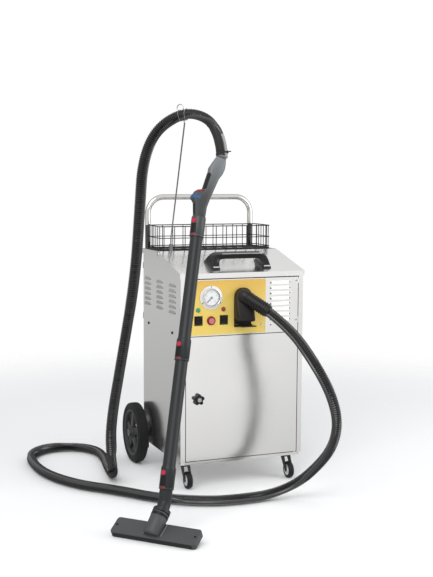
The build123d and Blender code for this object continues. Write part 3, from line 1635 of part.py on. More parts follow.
# Gun: socket on the wand, shaped body and pockets for the two buttons
gun_level = lock_levels[2]
gun_origin = elbow_corner + wand_dir * gun_level
gun_plane = Plane(origin=gun_origin, x_dir=bend_dir, z_dir=bend_dir.cross(wand_dir))
steam_seat = Location(steam_button_at, steam_button_tilt)
vacuum_seat = Location(vacuum_button_at, vacuum_button_tilt)
gun_buttons = (
    (steam_seat, steam_button_length, steam_button_depth),
    (vacuum_seat, vacuum_button_length, vacuum_button_depth),
)
with BuildPart() as gun_shell:
    with BuildSketch(gun_plane):
        with BuildLine():
            Polyline(*gun_outline, close=True)
        make_face()
    extrude(amount=gun_thickness / 2, both=True)
    rims = gun_shell.edges().filter_by(lambda e: abs(gun_plane.to_local_coords(e.center()).Z) > gun_round)
    chamfer(rims, length=gun_round)
    with BuildSketch(wand_plane(gun_level - socket_down)):
        Circle(socket_radius)
    extrude(amount=socket_down + socket_up)
    with BuildSketch(wand_plane(gun_level - socket_down)):
        Circle(wand_radius + socket_fit)
    extrude(amount=socket_down + spigot_up + socket_fit, mode=Mode.SUBTRACT)
    with BuildSketch(lock_plane(gun_level)):
        Circle(lock_radius + slip)
    extrude(amount=socket_radius + wand_wall, mode=Mode.SUBTRACT)
    for seat, length, depth in gun_buttons:
        pocket = depth - gun_button_proud + gun_button_travel + slip
        with BuildSketch(gun_plane):
            with Locations(seat):
                with Locations((0, (gun_round - pocket) / 2)):
                    Rectangle(length + 2 * slip, gun_round + pocket)
        extrude(amount=gun_thickness, both=True, mode=Mode.SUBTRACT)

# Gun buttons: steam on the top of the thumb rest, vacuum on its end
button_nodes = []
for seat, length, depth in gun_buttons:
    with BuildPart() as gun_button:
        with BuildSketch(gun_plane):
            with Locations(seat):
                with Locations((0, gun_button_proud - depth / 2)):
                    Rectangle(length, depth)
        extrude(amount=gun_button_width / 2, both=True)
        chamfer(gun_button.edges(), length=gun_button_edge)
    button_nodes.append(gun_button.part)

# Lock buttons at the wand's three joints
lock_nodes = []
for level in lock_levels:
    with BuildPart() as lock_button:
        with BuildSketch(lock_plane(level).offset(socket_radius + lock_proud - lock_reach)):
            Circle(lock_radius)
        extrude(amount=lock_reach)
    lock_nodes.append(lock_button.part)

# Every node under its own name
nodes = {
    "base_pan": base_pan.part,
    "left_side_panel": left_side_panel.part,
    "right_side_panel": right_side_panel.part,
    "rear_panel": rear_panel.part,
    "top_deck": top_deck.part,
    "lid_panel": lid_panel.part,
    "lid_handle": lid_handle.part,
    "door_panel": door_panel.part,
    "door_knob": door_knob.part,
    "control_panel": control_panel.part,
    "yellow_fascia": yellow_fascia.part,
    "panel_screws": panel_screws.part,
    "inner_shelf": inner_shelf.part,
    "boiler": boiler.part,
    "safety_valve": safety_valve.part,
    "solenoid_valve": solenoid_valve.part,
    "steam_pipe": steam_pipe.part,
    "water_tank": water_tank.part,
    "feed_pump": feed_pump.part,
    "vacuum_motor": vacuum_motor.part,
    "suction_duct": suction_duct.part,
    "recovery_tank": recovery_tank.part,
    "control_board": control_board.part,
    "drain_tap": drain_tap.part,
    "cable_gland": cable_gland.part,
    "push_handle": push_handle.part,
    "handle_clamps": handle_clamps.part,
    "wire_basket": wire_basket.part,
    "hanger_rod": hanger_rod,
    "hose_rings": hose_rings.part,
    "rear_axle": rear_axle.part,
    "left_wheel": left_wheel,
    "right_wheel": right_wheel,
    "left_caster_fork": left_caster_fork.part,
    "right_caster_fork": right_caster_fork,
    "left_caster_wheel": left_caster_wheel.part,
    "right_caster_wheel": right_caster_wheel,
    "gauge_case": gauge_case.part,
    "gauge_needle": gauge_needle.part,
    "gauge_glass": gauge_glass.part,
    "pilot_lamps": pilot_lamps.part,
    "switch_bezels": switch_bezels.part,
    "left_rocker": rocker_nodes[0],
    "right_rocker": rocker_nodes[1],
    "push_button": push_button.part,
    "hose_socket": hose_socket.part,
    "hose_plug": hose_plug.part,
    "socket_flap": socket_flap.part,
    "vacuum_hose": vacuum_hose.part,
    "floor_elbow": floor_elbow.part,
    "floor_nozzle": floor_nozzle.part,
    "nozzle_bristles": nozzle_bristles.part,
    "lower_tube": tube_nodes[0],
    "upper_tube": tube_nodes[1],
    "gun_body": gun_shell.part,
    "steam_button": button_nodes[0],
    "vacuum_button": button_nodes[1],
    "floor_lock": lock_nodes[0],
    "middle_lock": lock_nodes[1],
    "gun_lock": lock_nodes[2],
}
for name, shape in nodes.items():
    shape.label = name
    export_step(shape, f"parts/{name}.step")
print(len(nodes), "nodes")
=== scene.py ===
import json
from math import cos, pi, radians, sin, sqrt, tau

import bmesh
import bpy
from bmesh.types import BMEdge, BMFace, BMVert
from mathutils import Matrix, Vector

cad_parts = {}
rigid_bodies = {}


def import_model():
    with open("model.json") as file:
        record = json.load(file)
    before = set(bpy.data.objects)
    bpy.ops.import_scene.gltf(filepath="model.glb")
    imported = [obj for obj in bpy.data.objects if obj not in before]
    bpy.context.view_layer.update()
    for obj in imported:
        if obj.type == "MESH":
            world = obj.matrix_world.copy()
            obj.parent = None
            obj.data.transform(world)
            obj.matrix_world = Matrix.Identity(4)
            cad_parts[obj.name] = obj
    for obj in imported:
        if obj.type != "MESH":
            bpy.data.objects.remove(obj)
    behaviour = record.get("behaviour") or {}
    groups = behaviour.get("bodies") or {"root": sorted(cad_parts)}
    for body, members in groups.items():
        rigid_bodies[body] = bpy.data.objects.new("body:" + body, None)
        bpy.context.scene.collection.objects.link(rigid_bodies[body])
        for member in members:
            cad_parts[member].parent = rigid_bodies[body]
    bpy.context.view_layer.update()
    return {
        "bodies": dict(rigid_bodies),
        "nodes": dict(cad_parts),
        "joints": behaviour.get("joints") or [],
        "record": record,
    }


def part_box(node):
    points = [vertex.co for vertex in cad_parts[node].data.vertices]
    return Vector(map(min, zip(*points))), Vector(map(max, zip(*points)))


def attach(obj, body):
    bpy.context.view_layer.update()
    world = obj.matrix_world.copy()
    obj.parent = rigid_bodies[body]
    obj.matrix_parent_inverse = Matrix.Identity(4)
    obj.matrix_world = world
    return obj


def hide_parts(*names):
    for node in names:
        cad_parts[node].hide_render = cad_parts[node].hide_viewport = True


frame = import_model()
nodes = frame["nodes"]

# Studio: a round pale floor that fades into a white surround, two soft boxes,
# and a long lens at chest height, a little to the left of the cleaner.
scene = bpy.context.scene
scene.view_settings.view_transform = "Standard"


def axes_at(origin, x, y, z):
    """Frame at an origin with these three axes."""
    return Matrix.Translation(origin) @ Matrix((x, y, z)).transposed().to_4x4()


lens_place = Vector((-1.4251, -3.5605, 0.9994))
lens_yaw, lens_pitch, lens_roll = radians(21.57), radians(6.14), radians(0.29)
ahead = Vector((sin(lens_yaw) * cos(lens_pitch), cos(lens_yaw) * cos(lens_pitch), -sin(lens_pitch)))
level_right = Vector((cos(lens_yaw), -sin(lens_yaw), 0))
level_up = level_right.cross(ahead)
lens_right = level_right * cos(lens_roll) + level_up * sin(lens_roll)
lens_up = level_up * cos(lens_roll) - level_right * sin(lens_roll)
camera = bpy.data.objects.new("camera", bpy.data.cameras.new("camera"))
camera.data.lens = 65.88
camera.data.sensor_width = 36
camera.matrix_world = axes_at(lens_place, lens_right, lens_up, -ahead)
scene.collection.objects.link(camera)
scene.camera = camera


def set_sockets(node, values):
    """Gives each of these sockets of a shader node its value."""
    for socket, value in values.items():
        node.inputs[socket].default_value = value


def added(tree, kind, values=None, **settings):
    """New shader node of a kind, with its settings and the values of its sockets."""
    node = tree.nodes.new("ShaderNode" + kind)
    for setting, choice in settings.items():
        setattr(node, setting, choice)
    set_sockets(node, values or {})
    return node


def linked(tree, *pairs):
    """Links each pair of an output and an input."""
    for output, socket in pairs:
        tree.links.new(output, socket)


surround = bpy.data.worlds.new("white_surround")
scene.world = surround
surround.use_nodes = True
sky = surround.node_tree
fill = sky.nodes["Background"]
set_sockets(fill, {"Color": (0.96, 0.98, 1.0, 1), "Strength": 0.72})
paper = added(sky, "Background", {"Color": (1, 1, 1, 1)})
ray = added(sky, "LightPath")
look = added(sky, "TexCoord")
split = added(sky, "SeparateXYZ")
linked(sky, (look.outputs["Generated"], split.inputs[0]))


def graded(axis, start, end, at_start, at_end, kind="SMOOTHSTEP"):
    """Grade of the surround along one axis of the direction it lies in."""
    ends = {"From Min": start, "From Max": end, "To Min": at_start, "To Max": at_end}
    grade = added(sky, "MapRange", ends, interpolation_type=kind)
    linked(sky, (split.outputs[axis], grade.inputs["Value"]))
    return grade.outputs["Result"]


def worked(operation, first, second):
    """Result of a sum on two values of the surround."""
    sum_node = added(sky, "Math", operation=operation)
    for socket, value in zip(sum_node.inputs, (first, second)):
        if isinstance(value, (int, float)):
            socket.default_value = value
        else:
            linked(sky, (value, socket))
    return sum_node.outputs[0]


back_ramp = added(sky, "ValToRGB")
back_shades = ((-0.32, 0.64), (-0.10, 0.42), (0.04, 0.76), (0.12, 0.66), (0.30, 0.42), (0.50, 0.20),
               (0.85, 0.0))
while len(back_ramp.color_ramp.elements) < len(back_shades):
    back_ramp.color_ramp.elements.new(0.5)
for element, (height, dim) in zip(back_ramp.color_ramp.elements, back_shades):
    element.position = (height + 1) / 2
    element.color = (dim, dim, dim, 1)
linked(sky, (graded("Z", -1, 1, 0, 1, "LINEAR"), back_ramp.inputs["Fac"]))
back_dim = worked("MULTIPLY", back_ramp.outputs["Color"], graded("Y", 0.15, 0.60, 0, 1))
right_room = worked("MULTIPLY", graded("X", 0.37, 0.47, 0.0, 0.26), graded("Z", 0.02, 0.30, 1, 0))
front_room = worked("ADD", right_room, graded("Z", -0.30, -0.19, 0.36, 0.0))
front_dim = worked("MULTIPLY", front_room, graded("Y", -0.35, 0.05, 1, 0))
dim_for_metal = worked("MULTIPLY", worked("ADD", back_dim, front_dim), ray.outputs["Is Glossy Ray"])
seen = worked("ADD", ray.outputs["Is Camera Ray"], ray.outputs["Is Glossy Ray"])
seen_through = worked("ADD", seen, ray.outputs["Is Transmission Ray"])
whole = added(sky, "MixShader")
linked(sky, (worked("SUBTRACT", 1.0, dim_for_metal), paper.inputs["Strength"]),
       (worked("MINIMUM", seen_through, 1.0), whole.inputs["Fac"]),
       (fill.outputs[0], whole.inputs[1]), (paper.outputs[0], whole.inputs[2]),
       (whole.outputs[0], sky.nodes["World Output"].inputs["Surface"]))

for name, place, aim, size, watts in (
    ("soft_box_front", (-1.9, -2.4, 2.9), (0, 0, 0.3), 2.6, 72),
    ("soft_box_right", (2.5, -1.9, 1.25), (0, 0, 0.55), 2.0, 34),
):
    lamp = bpy.data.objects.new(name, bpy.data.lights.new(name, "AREA"))
    lamp.data.size = size
    lamp.data.energy = watts
    turn = (Vector(aim) - Vector(place)).to_track_quat("-Z", "Y").to_matrix().to_4x4()
    lamp.matrix_world = Matrix.Translation(place) @ turn
    scene.collection.objects.link(lamp)


def solid_from(bm, name, body=None, material=None, crease=35):
    """Object from a bmesh: doubles merged, faces outward, round parts smooth, riding on its body."""
    bmesh.ops.remove_doubles(bm, verts=bm.verts, dist=1e-6)
    bmesh.ops.recalc_face_normals(bm, faces=bm.faces)
    mesh = bpy.data.meshes.new(name)
    bm.to_mesh(mesh)
    bm.free()
    mesh.polygons.foreach_set("use_smooth", [True] * len(mesh.polygons))
    mesh.set_sharp_from_angle(angle=radians(crease))
    piece = bpy.data.objects.new(name, mesh)
    scene.collection.objects.link(piece)
    for skin in material if isinstance(material, (list, tuple)) else [material]:
        mesh.materials.append(skin)
    if body:
        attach(piece, body)
    return piece


floor_height, floor_radius = -0.09, 3.4
fade_from, fade_to = 1.3, 2.9
floor_bm = bmesh.new()
bmesh.ops.create_circle(floor_bm, cap_ends=True, radius=floor_radius, segments=96,
                        matrix=Matrix.Translation((0, 0, floor_height)))
floor_paint = bpy.data.materials.new("pale_floor")
floor_paint.use_nodes = True
tree = floor_paint.node_tree
paint = tree.nodes["Principled BSDF"]
set_sockets(paint, {"Base Color": (0.95, 0.95, 0.95, 1), "Roughness": 0.9, "Specular IOR Level": 0.0})
place = added(tree, "TexCoord")
reach = added(tree, "VectorMath", operation="LENGTH")
fade = added(tree, "MapRange", {"From Min": fade_from, "From Max": fade_to}, interpolation_type="SMOOTHSTEP")
bare = added(tree, "BsdfTransparent")
edge = added(tree, "MixShader")
linked(tree, (place.outputs["Object"], reach.inputs[0]), (reach.outputs["Value"], fade.inputs["Value"]),
       (fade.outputs["Result"], edge.inputs["Fac"]), (paint.outputs[0], edge.inputs[1]),
       (bare.outputs[0], edge.inputs[2]), (edge.outputs[0], tree.nodes["Material Output"].inputs["Surface"]))
floor = solid_from(floor_bm, "floor", material=floor_paint)
floor.visible_glossy = False

# Cabinet sheets: folded stainless steel, ground to a fine straight brush and left bare.
# The brush runs up the walls and the door, and across the deck, the lid and the pan.
grain_share, cloud_share = 0.45, 0.55


def finish(name, colour, rough, metal=0.0, grain=700.0, stretch=(1, 1, 1), shade=0.18, swing=0.08, bump=0.2,
           clouds=9.0, depth=0.0004, spec=0.5):
    """Material with a fine grain, slow clouds of shade, and roughness and relief from the same grain."""
    material = bpy.data.materials.new(name)
    material.use_nodes = True
    tree = material.node_tree
    shader = tree.nodes["Principled BSDF"]
    set_sockets(shader, {"Metallic": metal, "Specular IOR Level": spec})
    where = added(tree, "TexCoord")
    lay = added(tree, "Mapping", {"Scale": stretch})
    fine = added(tree, "TexNoise", {"Scale": grain, "Detail": 3.0})
    slow = added(tree, "TexNoise", {"Scale": clouds, "Detail": 4.0})
    slow_part = added(tree, "Math", {1: cloud_share}, operation="MULTIPLY")
    both = added(tree, "Math", {1: grain_share}, operation="MULTIPLY_ADD")
    darker = [c * (1 - shade) for c in colour]
    paler = [min(1, c * (1 + shade)) for c in colour]
    tone = added(tree, "Mix", {6: (*darker, 1), 7: (*paler, 1)}, data_type="RGBA")
    gloss = added(tree, "MapRange", {"From Min": 0.3, "From Max": 0.7, "To Min": max(0.02, rough - swing),
                                     "To Max": rough + swing})
    relief = added(tree, "Bump", {"Strength": bump, "Distance": depth})
    linked(tree, (where.outputs["Object"], lay.inputs["Vector"]),
           (lay.outputs["Vector"], fine.inputs["Vector"]), (fine.outputs[0], both.inputs[0]),
           (where.outputs["Object"], slow.inputs["Vector"]),
           (slow.outputs[0], slow_part.inputs[0]), (slow_part.outputs[0], both.inputs[2]),
           (both.outputs[0], tone.inputs[0]), (tone.outputs[2], shader.inputs["Base Color"]),
           (both.outputs[0], gloss.inputs["Value"]), (gloss.outputs["Result"], shader.inputs["Roughness"]),
           (fine.outputs[0], relief.inputs["Height"]), (relief.outputs["Normal"], shader.inputs["Normal"]))
    return material


def dress(material, *names):
    """Puts a finish on every slot of these CAD nodes."""
    for name in names:
        for spot in nodes[name].material_slots:
            spot.material = material


steel_colour = (0.885, 0.88, 0.868)
brushed = dict(metal=1.0, grain=1.0, shade=0.07, swing=0.06, bump=0.05, clouds=5.0, depth=0.0001)
upright_steel = finish("steel_brushed_upright", steel_colour, 0.20, stretch=(1400, 1400, 9), **brushed)
level_steel = finish("steel_brushed_across", steel_colour, 0.20, stretch=(9, 1400, 1400), **brushed)
dress(upright_steel, "left_side_panel", "right_side_panel", "rear_panel", "control_panel", "door_panel")
dress(level_steel, "base_pan", "top_deck", "lid_panel", "inner_shelf")

# Louvre ends: dark discs of painted shade, one at each end of every pressed louvre's slot in the front
# and the two sides, where the louvres' open ends lie in shadow.
painted_shade_dark = finish("painted_shade_dark", (0.012, 0.012, 0.012), 0.7, grain=900, shade=0.3, bump=0.1, spec=0.2)
louvre_pitch, hole_radius, hole_skin = 0.0186, 0.0027, 0.0003
front_face, wall_face = -0.208, 0.230
front_louvre_x, front_louvre_half, front_louvre_top, front_rows = 0.141, 0.0368, 0.6245, 8
wall_columns, wall_louvre_half, wall_louvre_top, wall_rows = (-0.121, 0.016, 0.153), 0.0333, 0.6165, 6
forward = Vector((0, -1, 0))
shade_discs_bm = bmesh.new()


def drilled(places, out, radius=hole_radius, deep=hole_skin * 2):
    """Dark discs of painted shade, a hair proud of a sheet, at these places."""
    turn = out.to_track_quat("Z", "Y").to_matrix().to_4x4()
    for spot in places:
        bmesh.ops.create_cone(shade_discs_bm, cap_ends=True, segments=12, radius1=radius, radius2=radius * 0.9,
                              depth=deep, matrix=Matrix.Translation(spot) @ turn)


drilled([(front_louvre_x + end * front_louvre_half, front_face, front_louvre_top - louvre_pitch * row)
         for row in range(front_rows) for end in (-1, 1)], forward)
for wall in (-1, 1):
    drilled([(wall * wall_face, column + end * wall_louvre_half, wall_louvre_top - louvre_pitch * row)
             for row in range(wall_rows) for column in wall_columns for end in (-1, 1)], Vector((wall, 0, 0)))

# Screws, the rear axle and the hose hanger's rod: turned steel. The front screws are bright, with a dark disc
# of painted shade in each driver recess, and larger discs of painted shade cover the side screws' heads; the
# axle and the rod are duller, as bought.
turned_steel = finish("steel_turned", (0.72, 0.72, 0.71), 0.24, metal=1.0, grain=1900, shade=0.1, bump=0.08,
                      depth=0.0001)
dull_steel = finish("steel_dull", (0.20, 0.20, 0.205), 0.36, metal=1.0, grain=1500, shade=0.2, bump=0.1,
                    depth=0.0001)
dress(turned_steel, "panel_screws")
dress(dull_steel, "rear_axle", "hanger_rod")
screw_low, screw_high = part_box("panel_screws")
spare_hole = (0.1064, front_face, 0.476)
recess_radius, side_head_radius, side_head_deep, side_head_sunk = 0.0013, 0.0053, 0.0022, 0.0009
# Painted shade in the open spare hole of the front panel.
drilled([spare_hole], forward)
drilled([(x, screw_low.y, z) for x in (-0.204, 0.204) for z in (0.491, 0.630)], forward, recess_radius)
# Larger discs of the same painted shade cover the heads of the two screws in each side wall.
for wall, face in ((-1, screw_low.x), (1, screw_high.x)):
    drilled([(face - wall * side_head_sunk, y, 0.452) for y in (-0.120, 0.145)], Vector((wall, 0, 0)),
            side_head_radius, side_head_deep)
solid_from(shade_discs_bm, "louvre_and_screw_hole_shade", "cabinet", painted_shade_dark)

# Fascia: a thin aluminium plate, stove-painted yellow, blended darker and more orange towards its top edge.
# It lies on the left part of the control panel and is held by the panel's own screws.
fascia_low, fascia_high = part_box("yellow_fascia")
fascia_paint = finish("yellow_paint", (0.82, 0.605, 0.135), 0.38, grain=2600, shade=0.05, swing=0.05,
                      bump=0.06, clouds=14, depth=0.0002)
warm_from, warm_past = 0.115, 0.02


def toned(material, colour, start=0.0, end=1.0, attribute=None):
    """Blends a finish into a second colour, from one height to another or by an attribute of the mesh."""
    tree = material.node_tree
    first = next(n for n in tree.nodes if n.type == "MIX")
    second = added(tree, "Mix", {7: (*colour, 1)}, data_type="RGBA")
    if attribute:
        share = added(tree, "Attribute", attribute_name=attribute).outputs["Fac"]
    else:
        where = next(n for n in tree.nodes if n.type == "TEX_COORD")
        height = added(tree, "SeparateXYZ")
        climb = added(tree, "MapRange", {"From Min": start, "From Max": end})
        linked(tree, (where.outputs["Object"], height.inputs[0]),
               (height.outputs["Z"], climb.inputs["Value"]))
        share = climb.outputs["Result"]
    linked(tree, (share, second.inputs[0]), (first.outputs[2], second.inputs[6]),
           (second.outputs[2], tree.nodes["Principled BSDF"].inputs["Base Color"]))


toned(fascia_paint, (0.70, 0.40, 0.075), fascia_low.z + warm_from, fascia_high.z + warm_past)
dress(fascia_paint, "yellow_fascia")

# Pressure gauge: a pressed steel case with a flange and three screws, and a white dial printed with a plain
# black scale and ringed at its rim by a thin band of painted bezel shadow. The needle turns on the dial's
# spindle behind the glass.


def turned(bm, profile, matrix=Matrix(), steps=48, sweep=tau):
    """Spins a profile of (radius, height) points about the local Z axis."""
    rim = [bm.verts.new((radius, 0, height)) for radius, height in profile]
    edges = [bm.edges.new(pair) for pair in zip(rim, rim[1:])]
    before = set(bm.verts) - set(rim)
    whole_turn = abs(sweep - tau) < 1e-6
    bmesh.ops.spin(bm, geom=rim + edges, cent=(0, 0, 0), axis=(0, 0, 1), angle=sweep, steps=steps,
                   use_merge=whole_turn, use_duplicate=False)
    made = [v for v in bm.verts if v not in before]
    bmesh.ops.transform(bm, matrix=matrix, verts=made)


def facing(origin, out, right=None):
    """Frame at origin with its Z axis along out."""
    z = Vector(out).normalized()
    x = Vector(right) if right is not None else z.orthogonal()
    x = (x - z * x.dot(z)).normalized()
    return axes_at(origin, x, z.cross(x), z)


def block(bm, frame, middle, size):
    """Box of a size, with its middle at a place in a frame."""
    whole_frame = frame @ Matrix.Translation(middle) @ Matrix.Diagonal((*size, 1))
    return bmesh.ops.create_cube(bm, size=1, matrix=whole_frame)["verts"]


panel_face, panel_middle = -0.209, -0.1195
gauge_frame = facing((panel_middle, panel_face, 0.581), forward, (1, 0, 0))
gauge_steel = finish("gauge_case_steel", (0.78, 0.78, 0.78), 0.22, metal=1.0, grain=1500, shade=0.06,
                     swing=0.06, bump=0.05, depth=0.0001)
dial_white = finish("dial_white", (0.92, 0.93, 0.94), 0.45, grain=900, shade=0.04, swing=0.05, bump=0.05,
                    depth=0.0001)
print_and_shadow_black = finish("dial_print_and_shadow_black", (0.02, 0.02, 0.025), 0.5, grain=900, shade=0.2, bump=0.05)
gauge_bm = bmesh.new()
turned(gauge_bm, [(0.0002, -0.04), (0.031, -0.04), (0.031, 0.0), (0.0340, 0.0), (0.0340, 0.0030),
                  (0.0338, 0.0034), (0.0334, 0.0085), (0.0328, 0.0102), (0.0318, 0.0107), (0.0300, 0.0106),
                  (0.0290, 0.0098), (0.0288, 0.0036), (0.0002, 0.0036)], gauge_frame, steps=72)
flange_bm, flange_screws_bm = bmesh.new(), bmesh.new()
turned(flange_bm, [(0.0338, 0.0), (0.0405, 0.0), (0.041, 0.0006), (0.041, 0.0018), (0.0402, 0.0026),
                   (0.0345, 0.0029), (0.0338, 0.0030), (0.0338, 0.0)], gauge_frame, steps=72)
flange_white = finish("flange_white", (0.80, 0.80, 0.80), 0.5, grain=1500, shade=0.06, bump=0.06,
                      depth=0.0002)
solid_from(flange_bm, "gauge_flange", "cabinet", flange_white)
screw_circle, screw_foot = 0.0375, 0.0025
for third in range(3):
    around = radians(90 + 120 * third)
    spot = Matrix.Translation((screw_circle * cos(around), screw_circle * sin(around), screw_foot))
    turned(flange_screws_bm, [(0.0001, 0.0), (0.0021, 0.0), (0.0021, 0.0007), (0.0015, 0.0012),
                              (0.0001, 0.0013)], gauge_frame @ spot, steps=12)
solid_from(flange_screws_bm, "gauge_screws", "cabinet", print_and_shadow_black)
gauge = solid_from(gauge_bm, "gauge_case_turned", "cabinet", [gauge_steel])
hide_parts("gauge_case")
dial_bm = bmesh.new()
turned(dial_bm, [(0.0001, 0.0036), (0.0286, 0.0036), (0.0286, 0.0040), (0.0001, 0.0040)], gauge_frame,
       steps=64)
turned(dial_bm, [(0.0001, 0.0039), (0.0014, 0.0039), (0.0014, 0.0062), (0.0001, 0.0062)], gauge_frame,
       steps=16)
solid_from(dial_bm, "gauge_dial", "cabinet", dial_white)
scale_and_shadow_bm = bmesh.new()
# A thin dark ring at the dial's rim: painted shadow of the bezel, in the print's black.
turned(scale_and_shadow_bm, [(0.0272, 0.0039), (0.0286, 0.0039), (0.0286, 0.0043), (0.0272, 0.0043), (0.0272, 0.0039)],
       gauge_frame, steps=64)
scale_marks, scale_start, scale_sweep, top_figure = 40, 225, 270, 8
mark_reach, mark_level, figure_reach, figure_level = 0.0262, 0.0041, 0.0182, 0.0042
long_mark, short_mark = (0.0046, 0.0007, 0.0003), (0.0026, 0.0004, 0.0003)
for mark in range(scale_marks + 1):
    size = short_mark if mark % 5 else long_mark
    swung = Matrix.Rotation(radians(scale_start - scale_sweep * mark / scale_marks), 4, "Z")
    block(scale_and_shadow_bm, gauge_frame @ swung, (mark_reach - size[0] / 2, 0, mark_level), size)
for figure in range(0, top_figure + 1, 2):
    around = radians(scale_start - scale_sweep * figure / top_figure)
    letters = bpy.data.curves.new("figure", "FONT")
    letters.body = str(figure)
    letters.size = 0.0058
    letters.align_x, letters.align_y = "CENTER", "CENTER"
    holder = bpy.data.objects.new("figure", letters)
    flat = bpy.data.meshes.new_from_object(holder)
    spot = Matrix.Translation((figure_reach * cos(around), figure_reach * sin(around), figure_level))
    flat.transform(gauge_frame @ spot)
    scale_and_shadow_bm.from_mesh(flat)
    bpy.data.objects.remove(holder)
    bpy.data.curves.remove(letters)
    bpy.data.meshes.remove(flat)
solid_from(scale_and_shadow_bm, "gauge_scale_and_rim_shadow", "cabinet", print_and_shadow_black)
dress(print_and_shadow_black, "gauge_needle")
clear = bpy.data.materials.new("gauge_glass_clear")
clear.use_nodes = True
tree = clear.node_tree
shader = tree.nodes["Principled BSDF"]
set_sockets(shader, {"Alpha": 0.10})
haze = added(tree, "TexNoise", {"Scale": 60})
haze_range = added(tree, "MapRange", {"To Min": 0.0, "To Max": 0.06})
linked(tree, (haze.outputs[0], haze_range.inputs["Value"]),
       (haze_range.outputs["Result"], shader.inputs["Roughness"]))
dress(clear, "gauge_glass")

# Pilot lamps: moulded lenses with a clear coat, green on the left and dark red on the right.
# Each has a thin rim and a domed top, and is pushed into its hole in the panel.
lamp_profile = [(0.0001, -0.002), (0.0078, -0.002), (0.0082, 0.0), (0.0082, 0.0012), (0.0070, 0.0018),
                (0.0068, 0.0034), (0.0058, 0.0046), (0.0036, 0.0052), (0.0001, 0.0054)]
lamp_level = 0.539
lamp_rows = (("green_lamp", (0.02, 0.30, 0.17), -0.167), ("red_lamp", (0.28, 0.02, 0.015), -0.074))
for name, colour, x in lamp_rows:
    lens = finish(name + "_lens", colour, 0.16, grain=300, shade=0.3, swing=0.05, bump=0.3, clouds=160,
                  depth=0.0005)
    set_sockets(lens.node_tree.nodes["Principled BSDF"], {"Coat Weight": 0.6})
    lamp_bm = bmesh.new()
    turned(lamp_bm, lamp_profile, facing((x, panel_face, lamp_level), forward), steps=32)
    solid_from(lamp_bm, name, "cabinet", lens)
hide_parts("pilot_lamps")

# Switches: two black rockers in moulded frames and a pink push button in a dark red ring.
# The frames and the ring are clipped into the panel, and the rockers and the button move in them.


def only(geom, kind):
    """The vertices, edges or faces among what an operator gave back."""
    return [part for part in geom if isinstance(part, kind)]


def rounded(bm, geom, offset, segments, affect="EDGES"):
    """Rounds these edges, or these corners of a flat plate."""
    bmesh.ops.bevel(bm, geom=geom, offset=offset, segments=segments, profile=0.5, affect=affect, material=-1)


switch_black = finish("switch_black", (0.008, 0.008, 0.009), 0.34, grain=1700, shade=0.25, bump=0.12,
                      spec=0.25)
button_pink = finish("button_pink", (0.62, 0.16, 0.20), 0.3, grain=1200, shade=0.12, bump=0.08)
ring_red = finish("ring_red", (0.22, 0.015, 0.015), 0.3, grain=1200, shade=0.2, bump=0.08)
dress(switch_black, "left_rocker", "right_rocker")
dress(button_pink, "push_button")
frame_size, frame_front, frame_level = (0.030, 0.033), -0.2105, 0.502
frame_width, frame_deep, frame_round = 0.0034, 0.0042, 0.0009
upright_turn = Matrix.Rotation(pi / 2, 4, "X")
frame_bm = bmesh.new()
for x in (-0.166, -0.0725):
    spot = Matrix.Translation((x, frame_front, frame_level)) @ upright_turn
    outer = bmesh.ops.create_grid(frame_bm, x_segments=1, y_segments=1, size=0.5,
                                  matrix=spot @ Matrix.Diagonal((*frame_size, 1, 1)))["verts"]
    face = outer[0].link_faces[0]
    bmesh.ops.inset_region(frame_bm, faces=[face], thickness=frame_width, use_boundary=True,
                           use_even_offset=True)
    bmesh.ops.delete(frame_bm, geom=[face], context="FACES_ONLY")
walls = bmesh.ops.extrude_face_region(frame_bm, geom=frame_bm.faces[:])["geom"]
bmesh.ops.translate(frame_bm, vec=(0, frame_deep, 0), verts=only(walls, BMVert))
rounded(frame_bm, [e for e in frame_bm.edges if e.calc_face_angle(0) > 0.5], frame_round, 2)
frames = solid_from(frame_bm, "rocker_frames", "cabinet", switch_black)
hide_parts("switch_bezels")
ring_bm = bmesh.new()
turned(ring_bm, [(0.0103, -0.001), (0.0155, -0.001), (0.0158, 0.0008), (0.0150, 0.0030), (0.0128, 0.0042),
                 (0.0108, 0.0036), (0.0103, 0.0024), (0.0103, -0.001)],
       facing((panel_middle, panel_face, 0.501), forward), steps=40)
solid_from(ring_bm, "button_ring", "cabinet", ring_red)

# Hose socket and flap: a black moulded plate with round corners over the fascia, a tube through
# the panel behind it, and two ears at its foot for the pin on which the flap hangs.


def plate(bm, width, height, corners):
    """Flat plate about the origin, with a radius at each corner, given as (across, up, radius)."""
    bmesh.ops.create_grid(bm, x_segments=1, y_segments=1, size=0.5,
                          matrix=Matrix.Diagonal((width, height, 1, 1)))
    for across, up, radius in corners:
        spot = Vector((across * width / 2, up * height / 2, 0))
        tip = min(bm.verts, key=lambda vert: (vert.co - spot).length)
        rounded(bm, [tip], radius, 6, "VERTICES")


def peg(bm, matrix, radius, length, sides):
    """Round peg along the Z axis of a frame, with its middle at the frame's origin."""
    bmesh.ops.create_cone(bm, cap_ends=True, segments=sides, radius1=radius, radius2=radius, depth=length,
                          matrix=matrix)


boot_rubber = finish("boot_rubber", (0.014, 0.012, 0.011), 0.40, grain=1100, shade=0.3, swing=0.1, bump=0.22,
                     spec=0.28)
dress(boot_rubber, "socket_flap")
socket_spot = Matrix.Translation((-0.003, -0.214, 0.544)) @ upright_turn
plate_thick, tube_rise = 0.005, 0.012
ear_thick, hub_radius, hub_at = 0.004, 0.004, Vector((0.0293, -0.064, 0.007))
socket_bm = bmesh.new()
plate(socket_bm, 0.064, 0.122, ((-1, 1, 0.030), (1, 1, 0.030), (-1, -1, 0.016), (1, -1, 0.012)))
lifted = bmesh.ops.extrude_face_region(socket_bm, geom=socket_bm.faces[:])["geom"]
bmesh.ops.translate(socket_bm, vec=(0, 0, -plate_thick), verts=only(lifted, BMVert))
turned(socket_bm, [(0.020, -0.035), (0.024, -0.035), (0.024, -0.004), (0.020, -0.004), (0.020, -0.035)],
       Matrix.Translation((0, tube_rise, 0)))
